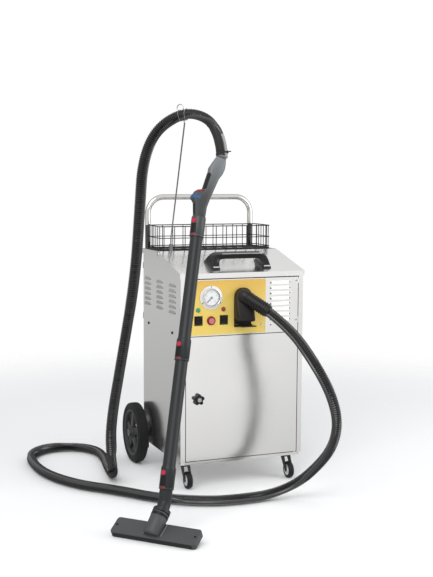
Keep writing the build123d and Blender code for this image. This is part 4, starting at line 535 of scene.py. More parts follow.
for across in (-1, 1):
    hub = Vector((across * hub_at.x, hub_at.y, hub_at.z))
    peg(socket_bm, Matrix.Translation(hub) @ Matrix.Rotation(pi / 2, 4, "Y"), hub_radius, ear_thick, 20)
    block(socket_bm, Matrix(), (hub.x, hub.y, 0.001), (ear_thick, 2 * hub_radius, 0.012))
    block(socket_bm, Matrix(), (hub.x, hub.y + 0.004, -plate_thick / 2), (ear_thick, 0.016, plate_thick))
bmesh.ops.transform(socket_bm, matrix=socket_spot, verts=socket_bm.verts)
socket = solid_from(socket_bm, "socket_plate", "cabinet", boot_rubber)
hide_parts("hose_socket")

# Plug boot: black moulded rubber, pushed over the socket plate, with a sloping front that is
# thickest at its foot. Its ribbed sleeve comes out at the top and grips the hose.


def raised(bm, steps):
    """Raises a flat face in steps of (rise, scale)."""
    top = bm.faces[:]
    for rise, scale in steps:
        grown = bmesh.ops.extrude_face_region(bm, geom=top)["geom"]
        top = only(grown, BMFace)
        bmesh.ops.translate(bm, vec=(0, 0, rise), verts=only(grown, BMVert))
        bmesh.ops.scale(bm, vec=(scale, scale, 1), verts=only(grown, BMVert))


hose_start = Vector((0.055, -0.293, 0.538))
boot_spot = Matrix.Translation((-0.003, -0.214, 0.553)) @ upright_turn
boot_depth, boot_slope = 0.58, 6.8
boot_bm = bmesh.new()
plate(boot_bm, 0.066, 0.118, ((-1, 1, 0.029), (1, 1, 0.029), (-1, -1, 0.018), (1, -1, 0.008)))
raised(boot_bm, ((0.006, 1.0), (0.002, 0.985), (0.014, 0.99), (0.012, 0.98), (0.008, 0.97), (0.004, 0.92)))
for vert in boot_bm.verts:
    vert.co.z *= boot_depth - vert.co.y * boot_slope
bmesh.ops.transform(boot_bm, matrix=boot_spot, verts=boot_bm.verts)
sleeve_root = Vector((-0.0105, -0.236, 0.587))
first_rib, rib_pitch, sleeve_ribs = -0.0876, 0.0088, 10
sleeve = [(0.0001, -0.123), (0.0090, -0.1212), (0.0165, -0.1163), (0.0215, -0.109), (0.0236, -0.0995),
          (0.0232, first_rib)]
for rib in range(sleeve_ribs):
    foot = first_rib + rib * rib_pitch
    sleeve += [(0.0220, foot), (0.0244, foot + 0.0012), (0.0244, foot + 0.0050), (0.0220, foot + 0.0062)]
sleeve += [(0.0214, 0.003), (0.0206, 0.006), (0.0180, 0.0065), (0.0001, 0.0065)]
turned(boot_bm, sleeve, facing(hose_start, hose_start - sleeve_root), steps=40)
boot = solid_from(boot_bm, "plug_boot", "cabinet", boot_rubber, crease=50)
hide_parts("hose_plug")

# Hose: a black corrugated suction hose with a smooth thin steam line laid along it, one length
# from the boot down to the floor, round the back of the left side and up over the hanger to the gun.
hose_floor = -0.0715
hose_route = (
    (0.055, -0.293, 0.538), (0.106, -0.370, 0.484), (0.130, -0.505, 0.390), (0.173, -0.546, 0.288),
    (0.196, -0.551, 0.191), (0.189, -0.524, 0.100), (0.154, -0.477, 0.026), (0.110, -0.430, -0.035),
    (0.024, -0.404, hose_floor), (-0.065, -0.414, hose_floor), (-0.187, -0.402, hose_floor),
    (-0.340, -0.313, hose_floor), (-0.447, -0.172, hose_floor), (-0.557, -0.062, hose_floor),
    (-0.628, 0.090, hose_floor), (-0.646, 0.235, hose_floor), (-0.636, 0.375, hose_floor),
    (-0.557, 0.455, hose_floor), (-0.450, 0.452, hose_floor), (-0.376, 0.372, hose_floor),
    (-0.374, 0.250, hose_floor), (-0.398, 0.120, hose_floor), (-0.414, -0.011, hose_floor),
    (-0.445, -0.105, 0.005), (-0.455, -0.110, 0.130), (-0.410, -0.106, 0.370), (-0.362, -0.107, 0.642),
    (-0.350, -0.125, 0.885), (-0.330, -0.095, 1.045), (-0.280, -0.090, 1.155), (-0.202, -0.155, 1.212),
    (-0.140, -0.255, 1.185), (-0.138, -0.345, 1.095), (-0.150, -0.374, 1.053),
)
line = bpy.data.curves.new("hose_line", "CURVE")
line.dimensions = "3D"
spline = line.splines.new("NURBS")
spline.points.add(len(hose_route) - 1)
for knot, place in zip(spline.points, hose_route):
    knot.co = (*place, 1)
spline.use_endpoint_u = True
spline.order_u = 3
spline.resolution_u = 400
line.resolution_u = 400
holder = bpy.data.objects.new("hose_line", line)
walked = bpy.data.meshes.new_from_object(holder)
walk = [v.co.copy() for v in walked.vertices]
bpy.data.objects.remove(holder)
bpy.data.meshes.remove(walked)
hose_step = 0.0018
stations, gone = [walk[0]], 0.0
for here, there in zip(walk, walk[1:]):
    gone += (there - here).length
    if gone >= hose_step * len(stations):
        stations.append(there)

# The side of the hose on which the steam line lies, each up to and with a point of the route.
line_sides = (
    (6, (-0.8, -0.3, -0.4)), (10, (-0.2, -0.9, -0.3)), (22, (-0.5, -0.5, 0.6)), (25, (0.75, -0.65, 0.0)),
    (29, (0.9, -0.4, 0.1)), (30, (0.2, -0.95, 0.2)), (33, (0.95, -0.2, 0.45)),
)
heading_reach, line_twist = 6, 0.045
headings, sides = [], []
for at, place in enumerate(stations):
    onward = stations[min(at + heading_reach, len(stations) - 1)]
    behind = stations[max(at - heading_reach, 0)]
    along = (onward - behind).normalized()
    nearest = min(range(len(hose_route)), key=lambda knot: (place - Vector(hose_route[knot])).length)
    line_side = Vector(next(wanted for last, wanted in line_sides if nearest <= last)).normalized()
    pull = line_side - along * line_side.dot(along)
    side = pull if not sides else sides[-1] * (1 - line_twist) + pull * line_twist
    side = (side - along * side.dot(along)).normalized()
    headings.append(along)
    sides.append(side)
half_turns = (9, 18, 25, 33, 50, 75, 105, 140)
skin_turns = [radians(d) for d in (0, *half_turns, 180, *(360 - d for d in reversed(half_turns)))]
rib_radius, rib_offset, rib_waves = 0.0160, 0.0011, (0.0012, -0.0002, -0.0016, -0.0002)
line_radius, line_offset, line_edge = 0.006, 0.0145, 0.88


def skin_reach(turn, wave):
    """Distance from the hose's line to its skin: ribs all round, but for the smooth steam line."""
    ribbed = -rib_offset * cos(turn) + sqrt((rib_radius + wave) ** 2 - (rib_offset * sin(turn)) ** 2)
    spread = line_radius ** 2 - (line_offset * sin(turn)) ** 2
    smooth = line_offset * cos(turn) + sqrt(spread) if spread > 0 and cos(turn) > 0 else 0.0
    return max(ribbed, smooth)


def skin_on_line(bm, picks, waves, swell=0.0):
    """Rolls a flat grid round the hose's own line and closes both its ends."""
    painted_crest_highlight = bm.verts.layers.float.get("painted_crest_highlight") or bm.verts.layers.float.new("painted_crest_highlight")
    rings, around = len(picks), len(skin_turns)
    roll = bmesh.ops.create_grid(bm, x_segments=rings - 1, y_segments=around, size=1)["verts"]
    near_line = {}
    for vert in roll:
        ring = round((vert.co.x + 1) / 2 * (rings - 1))
        turn = skin_turns[round((vert.co.y + 1) / 2 * around) % around]
        at = picks[ring]
        wave = waves[ring % len(waves)]
        out = sides[at] * cos(turn) + headings[at].cross(sides[at]) * sin(turn)
        vert.co = stations[at] + out * (skin_reach(turn, wave) + swell)
        vert[painted_crest_highlight] = max(0.0, wave / max(waves))
        near_line[vert] = (1 + (at > highlight_from)) * (cos(turn) > line_edge)
    for face in {f for v in roll for f in v.link_faces}:
        face.material_index = min(near_line[v] for v in face.verts)
    bmesh.ops.remove_doubles(bm, verts=roll, dist=1e-5)
    bmesh.ops.holes_fill(bm, edges=[e for e in bm.edges if e.is_boundary])


every = list(range(len(stations)))
# On the last stretch before the gun the steam line is painted pale grey: painted highlight.
highlight_from = len(stations) - 52
hose_bm = bmesh.new()
skin_on_line(hose_bm, every, rib_waves)
hose_black = finish("hose_black", (0.004, 0.004, 0.005), 0.16, grain=500, shade=0.3, swing=0.05, bump=0.06,
                    clouds=30)
# The rib crests are blended to a paler grey: painted highlight along the ribs.
toned(hose_black, (0.022, 0.022, 0.023), attribute="painted_crest_highlight")
line_black = finish("steam_line_black", (0.010, 0.010, 0.011), 0.20, grain=500, shade=0.3, swing=0.06,
                    bump=0.04, clouds=30, spec=0.8)
# Painted highlight on the steam line near the gun.
line_highlight = finish("steam_line_painted_highlight", (0.30, 0.30, 0.305), 0.28, grain=500, shade=0.2, swing=0.06, bump=0.04,
                   clouds=30)
hose_skins = [hose_black, line_black, line_highlight]
hose = solid_from(hose_bm, "corrugated_hose", "cabinet", hose_skins, crease=60)
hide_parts("vacuum_hose")

# Cable tie: a black nylon band that binds the steam line to the hose just above the gun.
# Its lock is a small block beside the line, and the cut tail stands out of it.
tie_at = len(stations) - 10
tie_bm = bmesh.new()
skin_on_line(tie_bm, every[tie_at - 2:tie_at + 2], (0.0007,), 0.0012)
tie_frame = facing(stations[tie_at], headings[tie_at], sides[tie_at])
block(tie_bm, tie_frame, (0.0215, 0.006, 0), (0.005, 0.006, 0.006))
block(tie_bm, tie_frame, (0.028, 0.006, 0), (0.010, 0.0012, 0.0036))
tie = solid_from(tie_bm, "cable_tie", "cabinet", [switch_black] * 3)

# Hanger: two bent steel rings that hold the hose up, linked below and curled into an eye above.
# The link hooks into the end of the thin rod that stands up from the deck.
rod_top = Vector((-0.2036, -0.1607, 1.1984))
ring_at = min(every, key=lambda at: (stations[at] - rod_top).length)
ring_wire, ring_apart, rod_radius = 0.0016, 7, 0.0025
link_drop, rod_drop = 0.0185, 0.0248
eye_radius, eye_back, eye_rise = 0.0125, 0.011, 0.0235
ring_steel = finish("steel_ring_wire", (0.36, 0.36, 0.365), 0.32, metal=1.0, grain=1500, shade=0.15,
                    bump=0.08, depth=0.0001)
rings_bm = bmesh.new()
for shift in (-ring_apart, ring_apart):
    skin_on_line(rings_bm, every[ring_at + shift - 1:ring_at + shift + 1], (0.0012,), ring_wire)
low = (Vector((0, 0, -1)) + headings[ring_at] * headings[ring_at].z).normalized()
link_ends = [stations[ring_at + shift] + low * link_drop for shift in (-ring_apart, ring_apart)]
rod_ends = [rod_top + low * rod_drop, stations[ring_at] + low * link_drop]
for (foot, tip), radius in ((link_ends, ring_wire), (rod_ends, rod_radius)):
    peg(rings_bm, facing((foot + tip) / 2, tip - foot), radius, (tip - foot).length, 10)
eye_profile = [(eye_radius + ring_wire * cos(tau * k / 8), ring_wire * sin(tau * k / 8)) for k in range(9)]
eye_at = stations[ring_at] - headings[ring_at] * eye_back - low * eye_rise
turned(rings_bm, eye_profile, facing(eye_at, headings[ring_at].cross(low), -low), steps=28)
rings = solid_from(rings_bm, "hanger_rings", "cabinet", [ring_steel] * 3)
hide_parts("hose_rings")

# Wand: two dark grey moulded tubes that plug together, each with a thicker collar at its foot.
# A black latch strip on every collar runs from the red lock button down to a dark red tip.
lean, bearing, lock_turn = radians(17.36), radians(47.2), radians(215)
wand_dir = Vector((sin(lean) * cos(bearing), sin(lean) * sin(bearing), cos(lean)))
bend_dir = (Vector((1, 0, 0)) - wand_dir * wand_dir.x).normalized()
lock_dir = bend_dir * cos(lock_turn) + wand_dir.cross(bend_dir) * sin(lock_turn)
elbow_corner = Vector((-0.424942, -0.610939, 0.007973))
lock_levels = (0.0926, 0.4876, 0.8826)
wand_grey = finish("wand_plastic", (0.020, 0.0225, 0.0235), 0.34, grain=900, shade=0.22, bump=0.12, spec=0.22)
latch_black = finish("latch_black", (0.007, 0.007, 0.008), 0.4, grain=1300, shade=0.25, bump=0.12, spec=0.2)
lock_red = finish("lock_red", (0.44, 0.008, 0.035), 0.3, grain=1100, shade=0.15, bump=0.1)
tip_red = finish("latch_tip_red", (0.14, 0.012, 0.02), 0.4, grain=1100, shade=0.2, bump=0.1)
collar = [(0.0203, -0.050), (0.0222, -0.050), (0.0231, -0.0488), (0.0231, -0.046), (0.0225, -0.045),
          (0.0225, -0.0435), (0.0230, -0.0425), (0.0230, 0.012)]
wand_profile = collar + [(0.0222, 0.0165), (0.0208, 0.0195), (0.0200, 0.022), (0.0200, 0.399),
                         (0.0190, 0.405), (0.0180, 0.405), (0.0180, 0.012), (0.0203, 0.010), (0.0203, -0.050)]
collar_frames = [facing(elbow_corner + wand_dir * level, wand_dir, lock_dir) for level in lock_levels]
for name, node, spot in zip(("wand_lower", "wand_upper"), ("lower_tube", "upper_tube"), collar_frames):
    tube_bm = bmesh.new()
    turned(tube_bm, wand_profile, spot, steps=48)
    tube = solid_from(tube_bm, name, "cabinet", wand_grey)
    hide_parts(node)
latch_bm, tips_bm = bmesh.new(), bmesh.new()
strip_root, strip_slant, strip_sweep = 0.0226, 0.0005, radians(48)
for spot in collar_frames:
    start = spot @ Matrix.Rotation(-strip_sweep / 2, 4, "Z")
    for bm, foot, top, proud in ((latch_bm, -0.040, -0.0085, 0.0236), (tips_bm, -0.0485, -0.040, 0.0235)):
        turned(bm, [(strip_root, foot), (proud, foot + strip_slant), (proud, top - strip_slant),
                    (strip_root, top), (strip_root, foot)], start, steps=10, sweep=strip_sweep)
solid_from(latch_bm, "latch_strips", "cabinet", latch_black)
solid_from(tips_bm, "latch_tips", "cabinet", tip_red)
dress(lock_red, "gun_lock", "middle_lock", "floor_lock")

# Gun: a grey two-part moulding on top of the wand with a black soft grip, a red steam button
# and a blue suction button. The hose pushes into its open top end.
gun_grey = finish("gun_plastic", (0.19, 0.20, 0.208), 0.34, grain=900, shade=0.16, bump=0.12, spec=0.4)
# The gun is painted lighter at its top and darker towards its foot: painted light and shade.
painted_light_above, painted_shade_below = 1.06, 0.93
toned(gun_grey, (0.040, 0.043, 0.045), painted_light_above, painted_shade_below)
gun_at = elbow_corner + wand_dir * lock_levels[2]
gun_frame = axes_at(gun_at, bend_dir, wand_dir, bend_dir.cross(wand_dir))
gun_outline = (
    (18.4, 10), (20, 50), (27.8, 80.6), (38.5, 115), (49, 149), (60, 168), (65.5, 184), (67, 201),
    (65.6, 220.5), (35, 223.6), (24, 203), (14, 183), (13, 163), (1.9, 106), (-23.4, 98), (-31, 83),
    (-30.6, 69), (-22.4, 57.7), (-16.6, 10),
)
surround_outline = ((15, 166.5), (4, 110), (12.5, 101.5), (20.5, 129), (27, 163.5))
grip_outline = ((12.5, 165), (1.0, 108), (11, 105), (17, 130), (23.5, 161))
trigger_outline = ((-17.2, 16), (-23.0, 57), (-4.5, 62), (1.5, 16))


def slab(bm, outline, half, steps):
    """Plate of an outline in millimetres on the gun, its rim rounded by steps of (inset, rise)."""
    before = set(bm.verts)
    rim = bm.faces.new([bm.verts.new((x / 1000, y / 1000, 0)) for x, y in outline])
    top = bmesh.ops.extrude_face_region(bm, geom=[rim])["geom"]
    bmesh.ops.translate(bm, vec=(0, 0, half), verts=only(top, BMVert))
    bmesh.ops.delete(bm, geom=[rim], context="FACES_ONLY")
    face = only(top, BMFace)
    for inset, rise in steps:
        bmesh.ops.inset_region(bm, faces=face, thickness=inset, depth=rise, use_even_offset=True)
    made = [v for v in bm.verts if v not in before]
    faces, edges = {f for v in made for f in v.link_faces}, {e for v in made for e in v.link_edges}
    bmesh.ops.mirror(bm, geom=[*made, *faces, *edges], matrix=Matrix(), merge_dist=1e-6, axis="Z")
    bmesh.ops.transform(bm, matrix=gun_frame, verts=[v for v in bm.verts if v not in before])


gun_bm, grip_edge_bm, grip_bm = bmesh.new(), bmesh.new(), bmesh.new()
slab(gun_bm, gun_outline, 0.008, ((0.0012, 0.0034), (0.0026, 0.0028), (0.004, 0.0018)))
turned(gun_bm, collar + [(0.0215, 0.0165), (0.0180, 0.018), (0.0180, 0.010), (0.0203, 0.009),
                         (0.0203, -0.050)], collar_frames[2], steps=48)
gun = solid_from(gun_bm, "gun_shell", "cabinet", gun_grey, crease=28)
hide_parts("gun_body")
# A pale rim a little wider than the black grip shows round it: painted highlight along the grip's edge.
slab(grip_edge_bm, surround_outline, 0.0080, ((0.0010, 0.0034), (0.0024, 0.0027), (0.003, 0.0012)))
grip_edge_highlight = finish("grip_edge_highlight", (0.34, 0.35, 0.36), 0.36, grain=900, shade=0.14, bump=0.1)
solid_from(grip_edge_bm, "grip_highlight_rim", "cabinet", grip_edge_highlight)
slab(grip_bm, grip_outline, 0.0088, ((0.0008, 0.0034), (0.002, 0.0028), (0.002, 0.0012)))
slab(grip_bm, trigger_outline, 0.0085, ((0.0008, 0.0036), (0.0018, 0.003), (0.002, 0.0012)))
solid_from(grip_bm, "gun_grip", "cabinet", latch_black)
button_red = finish("button_red", (0.24, 0.014, 0.035), 0.3, grain=1100, shade=0.15, bump=0.1)
button_blue = finish("button_blue", (0.025, 0.085, 0.19), 0.3, grain=1100, shade=0.15, bump=0.1)
dress(button_red, "steam_button")
dress(button_blue, "vacuum_button")

# Floor tool: a flat grey nozzle with a half-round neck, two clip notches and bristle strips,
# turning on the spigot of the elbow that joins it to the wand.
heading, pitch, neck_lift = radians(43.8), radians(27.5), radians(16.7)
tool_side = Vector((sin(heading), -cos(heading), 0))
tool_back = Vector((cos(heading) * cos(pitch), sin(heading) * cos(pitch), sin(pitch)))
tool_up = tool_side.cross(tool_back)
tool_at = Vector((-0.4809, -0.6646, floor_height))
tool_frame = axes_at(tool_at, tool_side, tool_back, tool_up)
tool_size = (0.285, 0.064, 0.0205)
neck_dir = tool_back * cos(neck_lift) + tool_up * sin(neck_lift)
neck_end = tool_frame @ Vector((0, 0.012, 0.0205)) + neck_dir * 0.0725
tool_grey = finish("tool_plastic", (0.060, 0.063, 0.065), 0.46, grain=800, shade=0.16, bump=0.16, spec=0.3)
tool_bm = bmesh.new()
block(tool_bm, Matrix(), (0, tool_size[1] / 2, tool_size[2] / 2), tool_size)
rounded(tool_bm, [e for e in tool_bm.edges if abs(e.verts[0].co.z - e.verts[1].co.z) > 0.01], 0.010, 4)
rounded(tool_bm, [e for e in tool_bm.edges if all(v.co.z > 0.02 for v in e.verts)], 0.0022, 3)
bmesh.ops.transform(tool_bm, matrix=tool_frame, verts=tool_bm.verts)
hump_at = tool_frame @ Vector((-0.006, 0.013, 0.0195))
hump_frame = facing(hump_at, neck_end - hump_at, tool_side)
hump_length = (neck_end - hump_at).length
turned(tool_bm, [(0.0001, 0.0), (0.0245, 0.0), (0.0258, 0.0006), (0.0265, 0.0018),
                 (0.0265, hump_length - 0.002), (0.0258, hump_length - 0.0003), (0.0203, hump_length),
                 (0.0203, 0.036), (0.0001, 0.036)], hump_frame, steps=56)
everything = tool_bm.verts[:] + tool_bm.edges[:] + tool_bm.faces[:]
bmesh.ops.bisect_plane(tool_bm, geom=everything, plane_co=tool_at, plane_no=tool_up, clear_inner=True)
bmesh.ops.holes_fill(tool_bm, edges=[e for e in tool_bm.edges if e.is_boundary])
tool = solid_from(tool_bm, "nozzle_shell", "floor_tool", tool_grey)
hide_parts("floor_nozzle")
trim_bm, ridge_bm, notch_bm = bmesh.new(), bmesh.new(), bmesh.new()
turned(trim_bm, [(0.0260, hump_length - 0.0135), (0.0274, hump_length - 0.0130),
                 (0.0274, hump_length - 0.0045), (0.0260, hump_length - 0.0040),
                 (0.0260, hump_length - 0.0135)], hump_frame, steps=56)
block(trim_bm, tool_frame, (0, -0.0002, 0.0092), (0.264, 0.0012, 0.0150))
solid_from(trim_bm, "nozzle_trim", "floor_tool", latch_black)
for edge in (-1, 1):
    block(ridge_bm, tool_frame, (-0.003 + edge * 0.0300, 0.036, 0.0212), (0.0026, 0.050, 0.0030))
    peg(notch_bm, tool_frame @ Matrix.Translation((edge * 0.1315, 0.032, 0.0190)), 0.0042, 0.0036, 20)
rounded(ridge_bm, ridge_bm.edges[:], 0.0006, 2)
ridge_grey = finish("ridge_grey", (0.15, 0.155, 0.16), 0.45, grain=800, shade=0.14, bump=0.14)
solid_from(ridge_bm, "nozzle_ridges", "floor_tool", ridge_grey)
solid_from(notch_bm, "clip_notches", "floor_tool", latch_black)
bristle_black = finish("bristle_black", (0.02, 0.02, 0.02), 0.7, grain=1.0, stretch=(900, 900, 30), shade=0.5,
                       bump=0.6, clouds=40)
dress(bristle_black, "nozzle_bristles")
dress(wand_grey, "floor_elbow")

# Lid handle: a black plastic bridge with flared feet, screwed through the lid. Pale strips along its top
# edge, across its right shoulder and where the legs meet the feet are painted highlights.
slope = 61 / 242.5
lid_down = Vector((0, -1, -slope)).normalized()
lid_normal = Vector((0, -slope, 1)).normalized()
hinge_line, handle_down = Vector((0.007, 0.030, 0.726)), 0.172
handle_frame = axes_at(hinge_line + lid_down * handle_down, Vector((1, 0, 0)), -lid_down, lid_normal)
handle_black = finish("handle_black", (0.007, 0.007, 0.008), 0.24, grain=900, shade=0.25, swing=0.06,
                      bump=0.06, spec=0.3)
# Half of the bridge: outer edge across and up, inner edge across and up, and half its depth.
half_bridge = (
    (0.1110, 0.0000, 0.0820, 0.0000, 0.0480), (0.1108, 0.0045, 0.0822, 0.0045, 0.0455),
    (0.1095, 0.0140, 0.0812, 0.0120, 0.0350), (0.1065, 0.0270, 0.0785, 0.0210, 0.0245),
    (0.1000, 0.0380, 0.0730, 0.0265, 0.0190), (0.0900, 0.0440, 0.0650, 0.0283, 0.0172),
    (0.0760, 0.0460, 0.0550, 0.0285, 0.0168), (0.0300, 0.0465, 0.0300, 0.0285, 0.0168),
)
other_half = [(-ox, oz, -ix, iz, deep) for ox, oz, ix, iz, deep in reversed(half_bridge)]
handle_bm = bmesh.new()
hoops = []
for ox, oz, ix, iz, deep in (*half_bridge, *other_half):
    corners = ((ox, -deep, oz), (ox, deep, oz), (ix, deep, iz), (ix, -deep, iz))
    hoop = [handle_bm.verts.new(place) for place in corners]
    hoops.append([handle_bm.edges.new(pair) for pair in zip(hoop, hoop[1:] + hoop[:1])])
for hoop, onward in zip(hoops, hoops[1:]):
    bmesh.ops.bridge_loops(handle_bm, edges=hoop + onward)
bmesh.ops.holes_fill(handle_bm, edges=[e for e in handle_bm.edges if e.is_boundary])
bmesh.ops.recalc_face_normals(handle_bm, faces=handle_bm.faces)
rounded(handle_bm, [e for e in handle_bm.edges
                    if e.calc_face_angle(0) > 0.9 and max(v.co.z for v in e.verts) > 0.002], 0.0034, 3)
bmesh.ops.transform(handle_bm, matrix=handle_frame, verts=handle_bm.verts)
handle = solid_from(handle_bm, "lid_grip", "lid", handle_black)
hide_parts("lid_handle")
grip_highlight_pale = finish("grip_highlight_pale", (0.62, 0.63, 0.63), 0.3, metal=0.3, grain=900, shade=0.1, bump=0.06)
# Painted highlights: pale blocks on the top edge, the right shoulder and where each leg meets its foot.
grip_highlight_bm = bmesh.new()
block(grip_highlight_bm, handle_frame, (0.008, -0.0125, 0.0463), (0.150, 0.0036, 0.0016))
block(grip_highlight_bm, handle_frame, (0.0835, 0.0, 0.0455), (0.0036, 0.028, 0.0024))
for end in (-1, 1):
    block(grip_highlight_bm, handle_frame, (end * 0.0960, -0.0405, 0.0085), (0.022, 0.004, 0.0040))
solid_from(grip_highlight_bm, "grip_painted_highlights", "lid", grip_highlight_pale)

# Door knob: a black five-lobed moulded head with a grey cap, on a steel shaft through the door.
# A flat cam on the shaft's inner end catches behind the cabinet's edge when the knob is turned.
knob_black = finish("knob_black", (0.009, 0.009, 0.010), 0.34, grain=1200, shade=0.25, bump=0.14, spec=0.25)
cap_grey = finish("knob_cap_grey", (0.34, 0.35, 0.35), 0.4, grain=900, shade=0.1, bump=0.1)
knob_frame = facing((-0.166, front_face, 0.22925), forward, (1, 0, 0))
knob_radius, lobes, lobe_height, lobe_point, knob_foot = 0.0165, 5, 0.0030, 0.0006, 0.0006
knob_bm = bmesh.new()
for vert in bmesh.ops.create_circle(knob_bm, cap_ends=True, radius=1, segments=80)["verts"]:
    around = Vector((vert.co.x, vert.co.y)).angle_signed(Vector((0, 1)))
    vert.co *= knob_radius + lobe_height * cos(lobes * around) - lobe_point * cos(2 * lobes * around)
    vert.co.z = knob_foot
raised(knob_bm, ((0.0016, 1.05), (0.0070, 1.02), (0.0036, 0.97), (0.0022, 0.86), (0.0008, 0.66)))
bmesh.ops.transform(knob_bm, matrix=knob_frame, verts=knob_bm.verts)
turned(knob_bm, [(0.0001, -0.0222), (0.005, -0.0222), (0.005, 0.0008), (0.0001, 0.0008)], knob_frame,
       steps=24)
block(knob_bm, knob_frame, (0, -0.022, -0.0207), (0.014, 0.058, 0.003))
knob = solid_from(knob_bm, "knob_head", "door_knob", knob_black, crease=45)
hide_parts("door_knob")
cap_bm = bmesh.new()
turned(cap_bm, [(0.0001, 0.0150), (0.0075, 0.0150), (0.0075, 0.0164), (0.0066, 0.0170), (0.0001, 0.0172)],
       knob_frame, steps=32)
solid_from(cap_bm, "knob_cap", "door_knob", cap_grey)

# Push handle: a bent stainless tube, bright above the basket's rim and blended darker below it,
# held by four black clamps on the rear panel.
tube_bright = finish("tube_polished", (0.64, 0.63, 0.605), 0.12, metal=1.0, grain=1.0, stretch=(700, 700, 12),
                     shade=0.05, swing=0.05, bump=0.03, clouds=5, depth=0.0001)
clamp_black = finish("clamp_black", (0.03, 0.03, 0.032), 0.5, grain=1000, shade=0.25, bump=0.2)
bright_from, dark_to = 0.8120, 0.8115
set_sockets(tube_bright.node_tree.nodes["Principled BSDF"], {"Specular Tint": (0.05, 0.05, 0.05, 1)})
toned(tube_bright, (0.075, 0.074, 0.072), bright_from, dark_to)
dress(tube_bright, "push_handle")
dress(clamp_black, "handle_clamps", "cable_gland")

# Wire basket: round steel wire, spot-welded and dipped in black plastic, with two bent rims at
# its foot, one half-way up and one at its top, and wires up its sides and across its floor.
wire_black = finish("wire_black", (0.009, 0.009, 0.010), 0.34, grain=1600, shade=0.3, spec=0.25)


def bent_wire(bm, corners, wire, bend, closed=False):
    """Round wire along a run of square corners: straight runs are extruded and each corner is spun."""
    runs = [Vector(c) for c in corners]
    if closed:
        middle = (runs[0] + runs[-1]) / 2
        runs = [middle] + runs + [middle]
    first = (runs[1] - runs[0]).normalized()
    ring = bmesh.ops.create_circle(bm, radius=wire, segments=8, matrix=facing(runs[0], first))["verts"]
    loop = list({e for v in ring for e in v.link_edges})
    starts = loop
    back = 0.0
    for at in range(1, len(runs)):
        span = runs[at] - runs[at - 1]
        way = span.normalized()
        short = bend if at < len(runs) - 1 else 0.0
        grown = bmesh.ops.extrude_edge_only(bm, edges=loop)["geom"]
        bmesh.ops.translate(bm, vec=way * (span.length - back - short), verts=only(grown, BMVert))
        loop = [e for e in only(grown, BMEdge) if e.is_boundary]
        if short:
            onward = (runs[at + 1] - runs[at]).normalized()
            spun = bmesh.ops.spin(bm, geom=loop + list({v for e in loop for v in e.verts}),
                                  cent=runs[at] + (onward - way) * bend, axis=way.cross(onward).normalized(),
                                  angle=pi / 2, steps=5, use_duplicate=False)["geom_last"]
            loop = only(spun, BMEdge)
        back = bend
    if not closed:
        bmesh.ops.edgeloop_fill(bm, edges=starts)
        bmesh.ops.edgeloop_fill(bm, edges=loop)


basket_low, basket_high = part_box("wire_basket")
basket_bm = bmesh.new()
rim_bend, upright, upright_bend, upright_in = 0.013, 0.0016, 0.006, 0.0035
end_gap, front_gaps, side_gaps = 0.016, 10, 5
for level, wire in ((0.0024, 0.0024), (0.0092, 0.0018), (0.044, 0.0015), (0.0862, 0.0018)):
    z = basket_low.z + level
    left, right = basket_low.x + wire, basket_high.x - wire
    near, far = basket_low.y + wire, basket_high.y - wire
    rim = ((left, near, z), (right, near, z), (right, far, z), (left, far, z))
    bent_wire(basket_bm, rim, wire, rim_bend, closed=True)
front_run, side_run = basket_high.x - basket_low.x - 2 * end_gap, basket_high.y - basket_low.y - 2 * end_gap
near, far = basket_low.y + upright_in, basket_high.y - upright_in
top, foot = basket_high.z - 0.002, basket_low.z + 0.0042
for k in range(front_gaps + 1):
    x = basket_low.x + end_gap + front_run * k / front_gaps
    run = ((x, near, top), (x, near, foot), (x, far, foot), (x, far, top))
    bent_wire(basket_bm, run, upright, upright_bend)
for k in range(side_gaps + 1):
    for x in (basket_low.x + upright_in, basket_high.x - upright_in):
        middle = (x, basket_low.y + end_gap + side_run * k / side_gaps, basket_low.z + 0.044)
        peg(basket_bm, Matrix.Translation(middle), upright, 0.084, 8)
basket = solid_from(basket_bm, "basket_wires", "cabinet", wire_black)
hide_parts("wire_basket")

# Rear wheels: solid black tyres with a blocked tread on five-spoked moulded rims,
# running on the steel axle and kept there by round caps.
tyre_black = finish("tyre_rubber", (0.011, 0.011, 0.012), 0.6, grain=700, shade=0.3, swing=0.1, bump=0.3,
                    spec=0.25)
rim_grey = finish("rim_plastic", (0.040, 0.041, 0.042), 0.40, grain=800, shade=0.25, bump=0.16, spec=0.3)
half_tyre = [(0.087, 0.0165), (0.092, 0.0195), (0.1005, 0.0200), (0.1075, 0.0186), (0.1115, 0.0150),
             (0.1128, 0.0100), (0.1130, 0.0034)]
tyre_profile = [(r, -h) for r, h in half_tyre] + half_tyre[::-1] + [(0.087, -0.0165)]
rim_profile = [(0.0785, -0.017), (0.0870, -0.018), (0.0885, -0.016), (0.0885, 0.016), (0.0870, 0.018),
               (0.0830, 0.0178), (0.0785, 0.014), (0.0765, 0.004), (0.0765, -0.004), (0.0785, -0.017)]
hub_profile = [(0.0082, -0.0195), (0.0205, -0.0195), (0.0225, -0.016), (0.0235, 0.0), (0.0225, 0.0165),
               (0.0205, 0.0195), (0.0150, 0.0200), (0.0082, 0.0195), (0.0082, -0.0195)]
tread_from, tread_step, spokes, spoke_middle = 0.1105, 0.0011, 5, 0.050
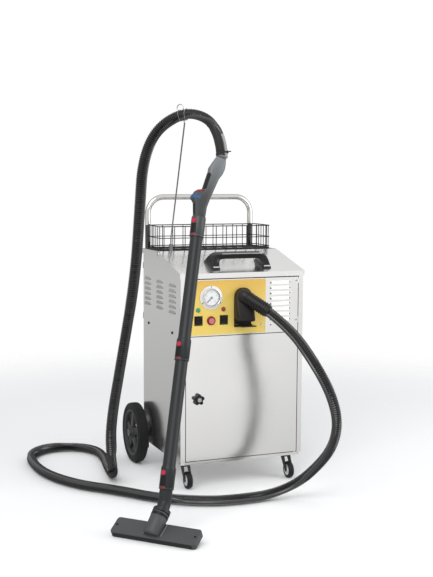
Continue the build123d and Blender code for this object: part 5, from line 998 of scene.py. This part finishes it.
for name, out in (("left_wheel", -1), ("right_wheel", 1)):
    spot = facing((out * 0.260, 0.222, 0.023), (out, 0, 0), (0, 0, 1))
    tyre_bm = bmesh.new()
    turned(tyre_bm, tyre_profile, steps=90)
    bmesh.ops.remove_doubles(tyre_bm, verts=tyre_bm.verts, dist=1e-6)
    bmesh.ops.recalc_face_normals(tyre_bm, faces=tyre_bm.faces)
    tread = [f for f in tyre_bm.faces if f.calc_center_median().xy.length > tread_from]
    bmesh.ops.inset_individual(tyre_bm, faces=tread, thickness=tread_step, depth=-tread_step)
    bmesh.ops.transform(tyre_bm, matrix=spot, verts=tyre_bm.verts)
    tyre = solid_from(tyre_bm, name + "_tyre", name, tyre_black)
    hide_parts(name)
    rim_bm = bmesh.new()
    turned(rim_bm, rim_profile, steps=72)
    turned(rim_bm, hub_profile, steps=48)
    for spoke in range(spokes):
        bar = block(rim_bm, Matrix(), (spoke_middle, 0, 0.004), (0.060, 0.025, 0.012))
        for vert in bar:
            vert.co.y *= 0.78 if vert.co.x > spoke_middle else 1.25
            vert.co.z += 0.004 if vert.co.x < spoke_middle else 0.0
        bmesh.ops.transform(rim_bm, matrix=Matrix.Rotation(tau * spoke / spokes, 4, "Z"), verts=bar)
    sharp = [e for e in rim_bm.edges if len(e.link_faces) == 2 and e.calc_face_angle(0) > 1.2]
    rounded(rim_bm, sharp, 0.0018, 2)
    bmesh.ops.transform(rim_bm, matrix=spot, verts=rim_bm.verts)
    solid_from(rim_bm, name + "_rim", name, rim_grey)

# Casters: black moulded forks that swivel under the pan, with black wheels on pale hub discs.
# Each tyre is pressed on its hub, which turns on the pin between the fork's cheeks.
fork_dark = finish("fork_dark", (0.010, 0.010, 0.011), 0.36, grain=1200, shade=0.2, bump=0.12, spec=0.25)
hub_pale = finish("hub_pale", (0.66, 0.67, 0.67), 0.35, metal=0.2, grain=900, shade=0.1, bump=0.08)
half_roller = [(0.0195, 0.0088), (0.0240, 0.0098), (0.0272, 0.0090), (0.0292, 0.0062), (0.0300, 0.0020)]
roller_profile = [(r, -h) for r, h in half_roller] + half_roller[::-1] + [(0.0190, 0.0), (0.0195, -0.0088)]
half_disc = [(0.0042, 0.0095), (0.0085, 0.0098), (0.0095, 0.0080), (0.0150, 0.0074), (0.0168, 0.0088),
             (0.0196, 0.0090)]
disc_profile = [(r, -h) for r, h in half_disc] + [(0.0198, 0.0)] + half_disc[::-1] + [(0.0042, -0.0095)]
for side_name, x in (("left", -0.194), ("right", 0.194)):
    wheel_body = side_name + "_caster_roller"
    dress(fork_dark, side_name + "_caster_fork")
    axle_frame = facing((x, -0.184, -0.060), (-1, 0, 0))
    roller_bm, disc_bm = bmesh.new(), bmesh.new()
    turned(roller_bm, roller_profile, axle_frame, steps=48)
    roller = solid_from(roller_bm, side_name + "_caster_tyre", wheel_body, tyre_black)
    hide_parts(side_name + "_caster_wheel")
    turned(disc_bm, disc_profile, axle_frame, steps=40)
    solid_from(disc_bm, side_name + "_caster_hub", wheel_body, hub_pale)

# Equipment behind the door: boiler in lagging, brass valves and pipes, alloy motor and pump,
# clear-moulded tanks, grey ducts and the green control board, all bolted to the pan and the shelf.
lagging = finish("boiler_lagging", (0.62, 0.62, 0.60), 0.5, metal=0.4, grain=240, shade=0.25, bump=0.5,
                 clouds=30)
brass = finish("brass_fittings", (0.62, 0.42, 0.15), 0.3, metal=1.0, grain=900, bump=0.12)
alloy = finish("cast_alloy", (0.52, 0.53, 0.54), 0.46, metal=0.9, grain=800, shade=0.2, bump=0.3)
tank_wall = finish("tank_plastic", (0.70, 0.73, 0.74), 0.4, grain=400, shade=0.1, clouds=18)
duct_grey = finish("duct_plastic", (0.14, 0.145, 0.15), 0.5, shade=0.2)
board_green = finish("board_green", (0.05, 0.22, 0.09), 0.45, grain=350, shade=0.5, bump=0.4, clouds=120)
dress(lagging, "boiler")
dress(brass, "safety_valve", "solenoid_valve", "steam_pipe")
dress(fork_dark, "drain_tap")
dress(alloy, "vacuum_motor", "feed_pump")
dress(tank_wall, "water_tank", "recovery_tank")
dress(duct_grey, "suction_duct")
dress(board_green, "control_board")
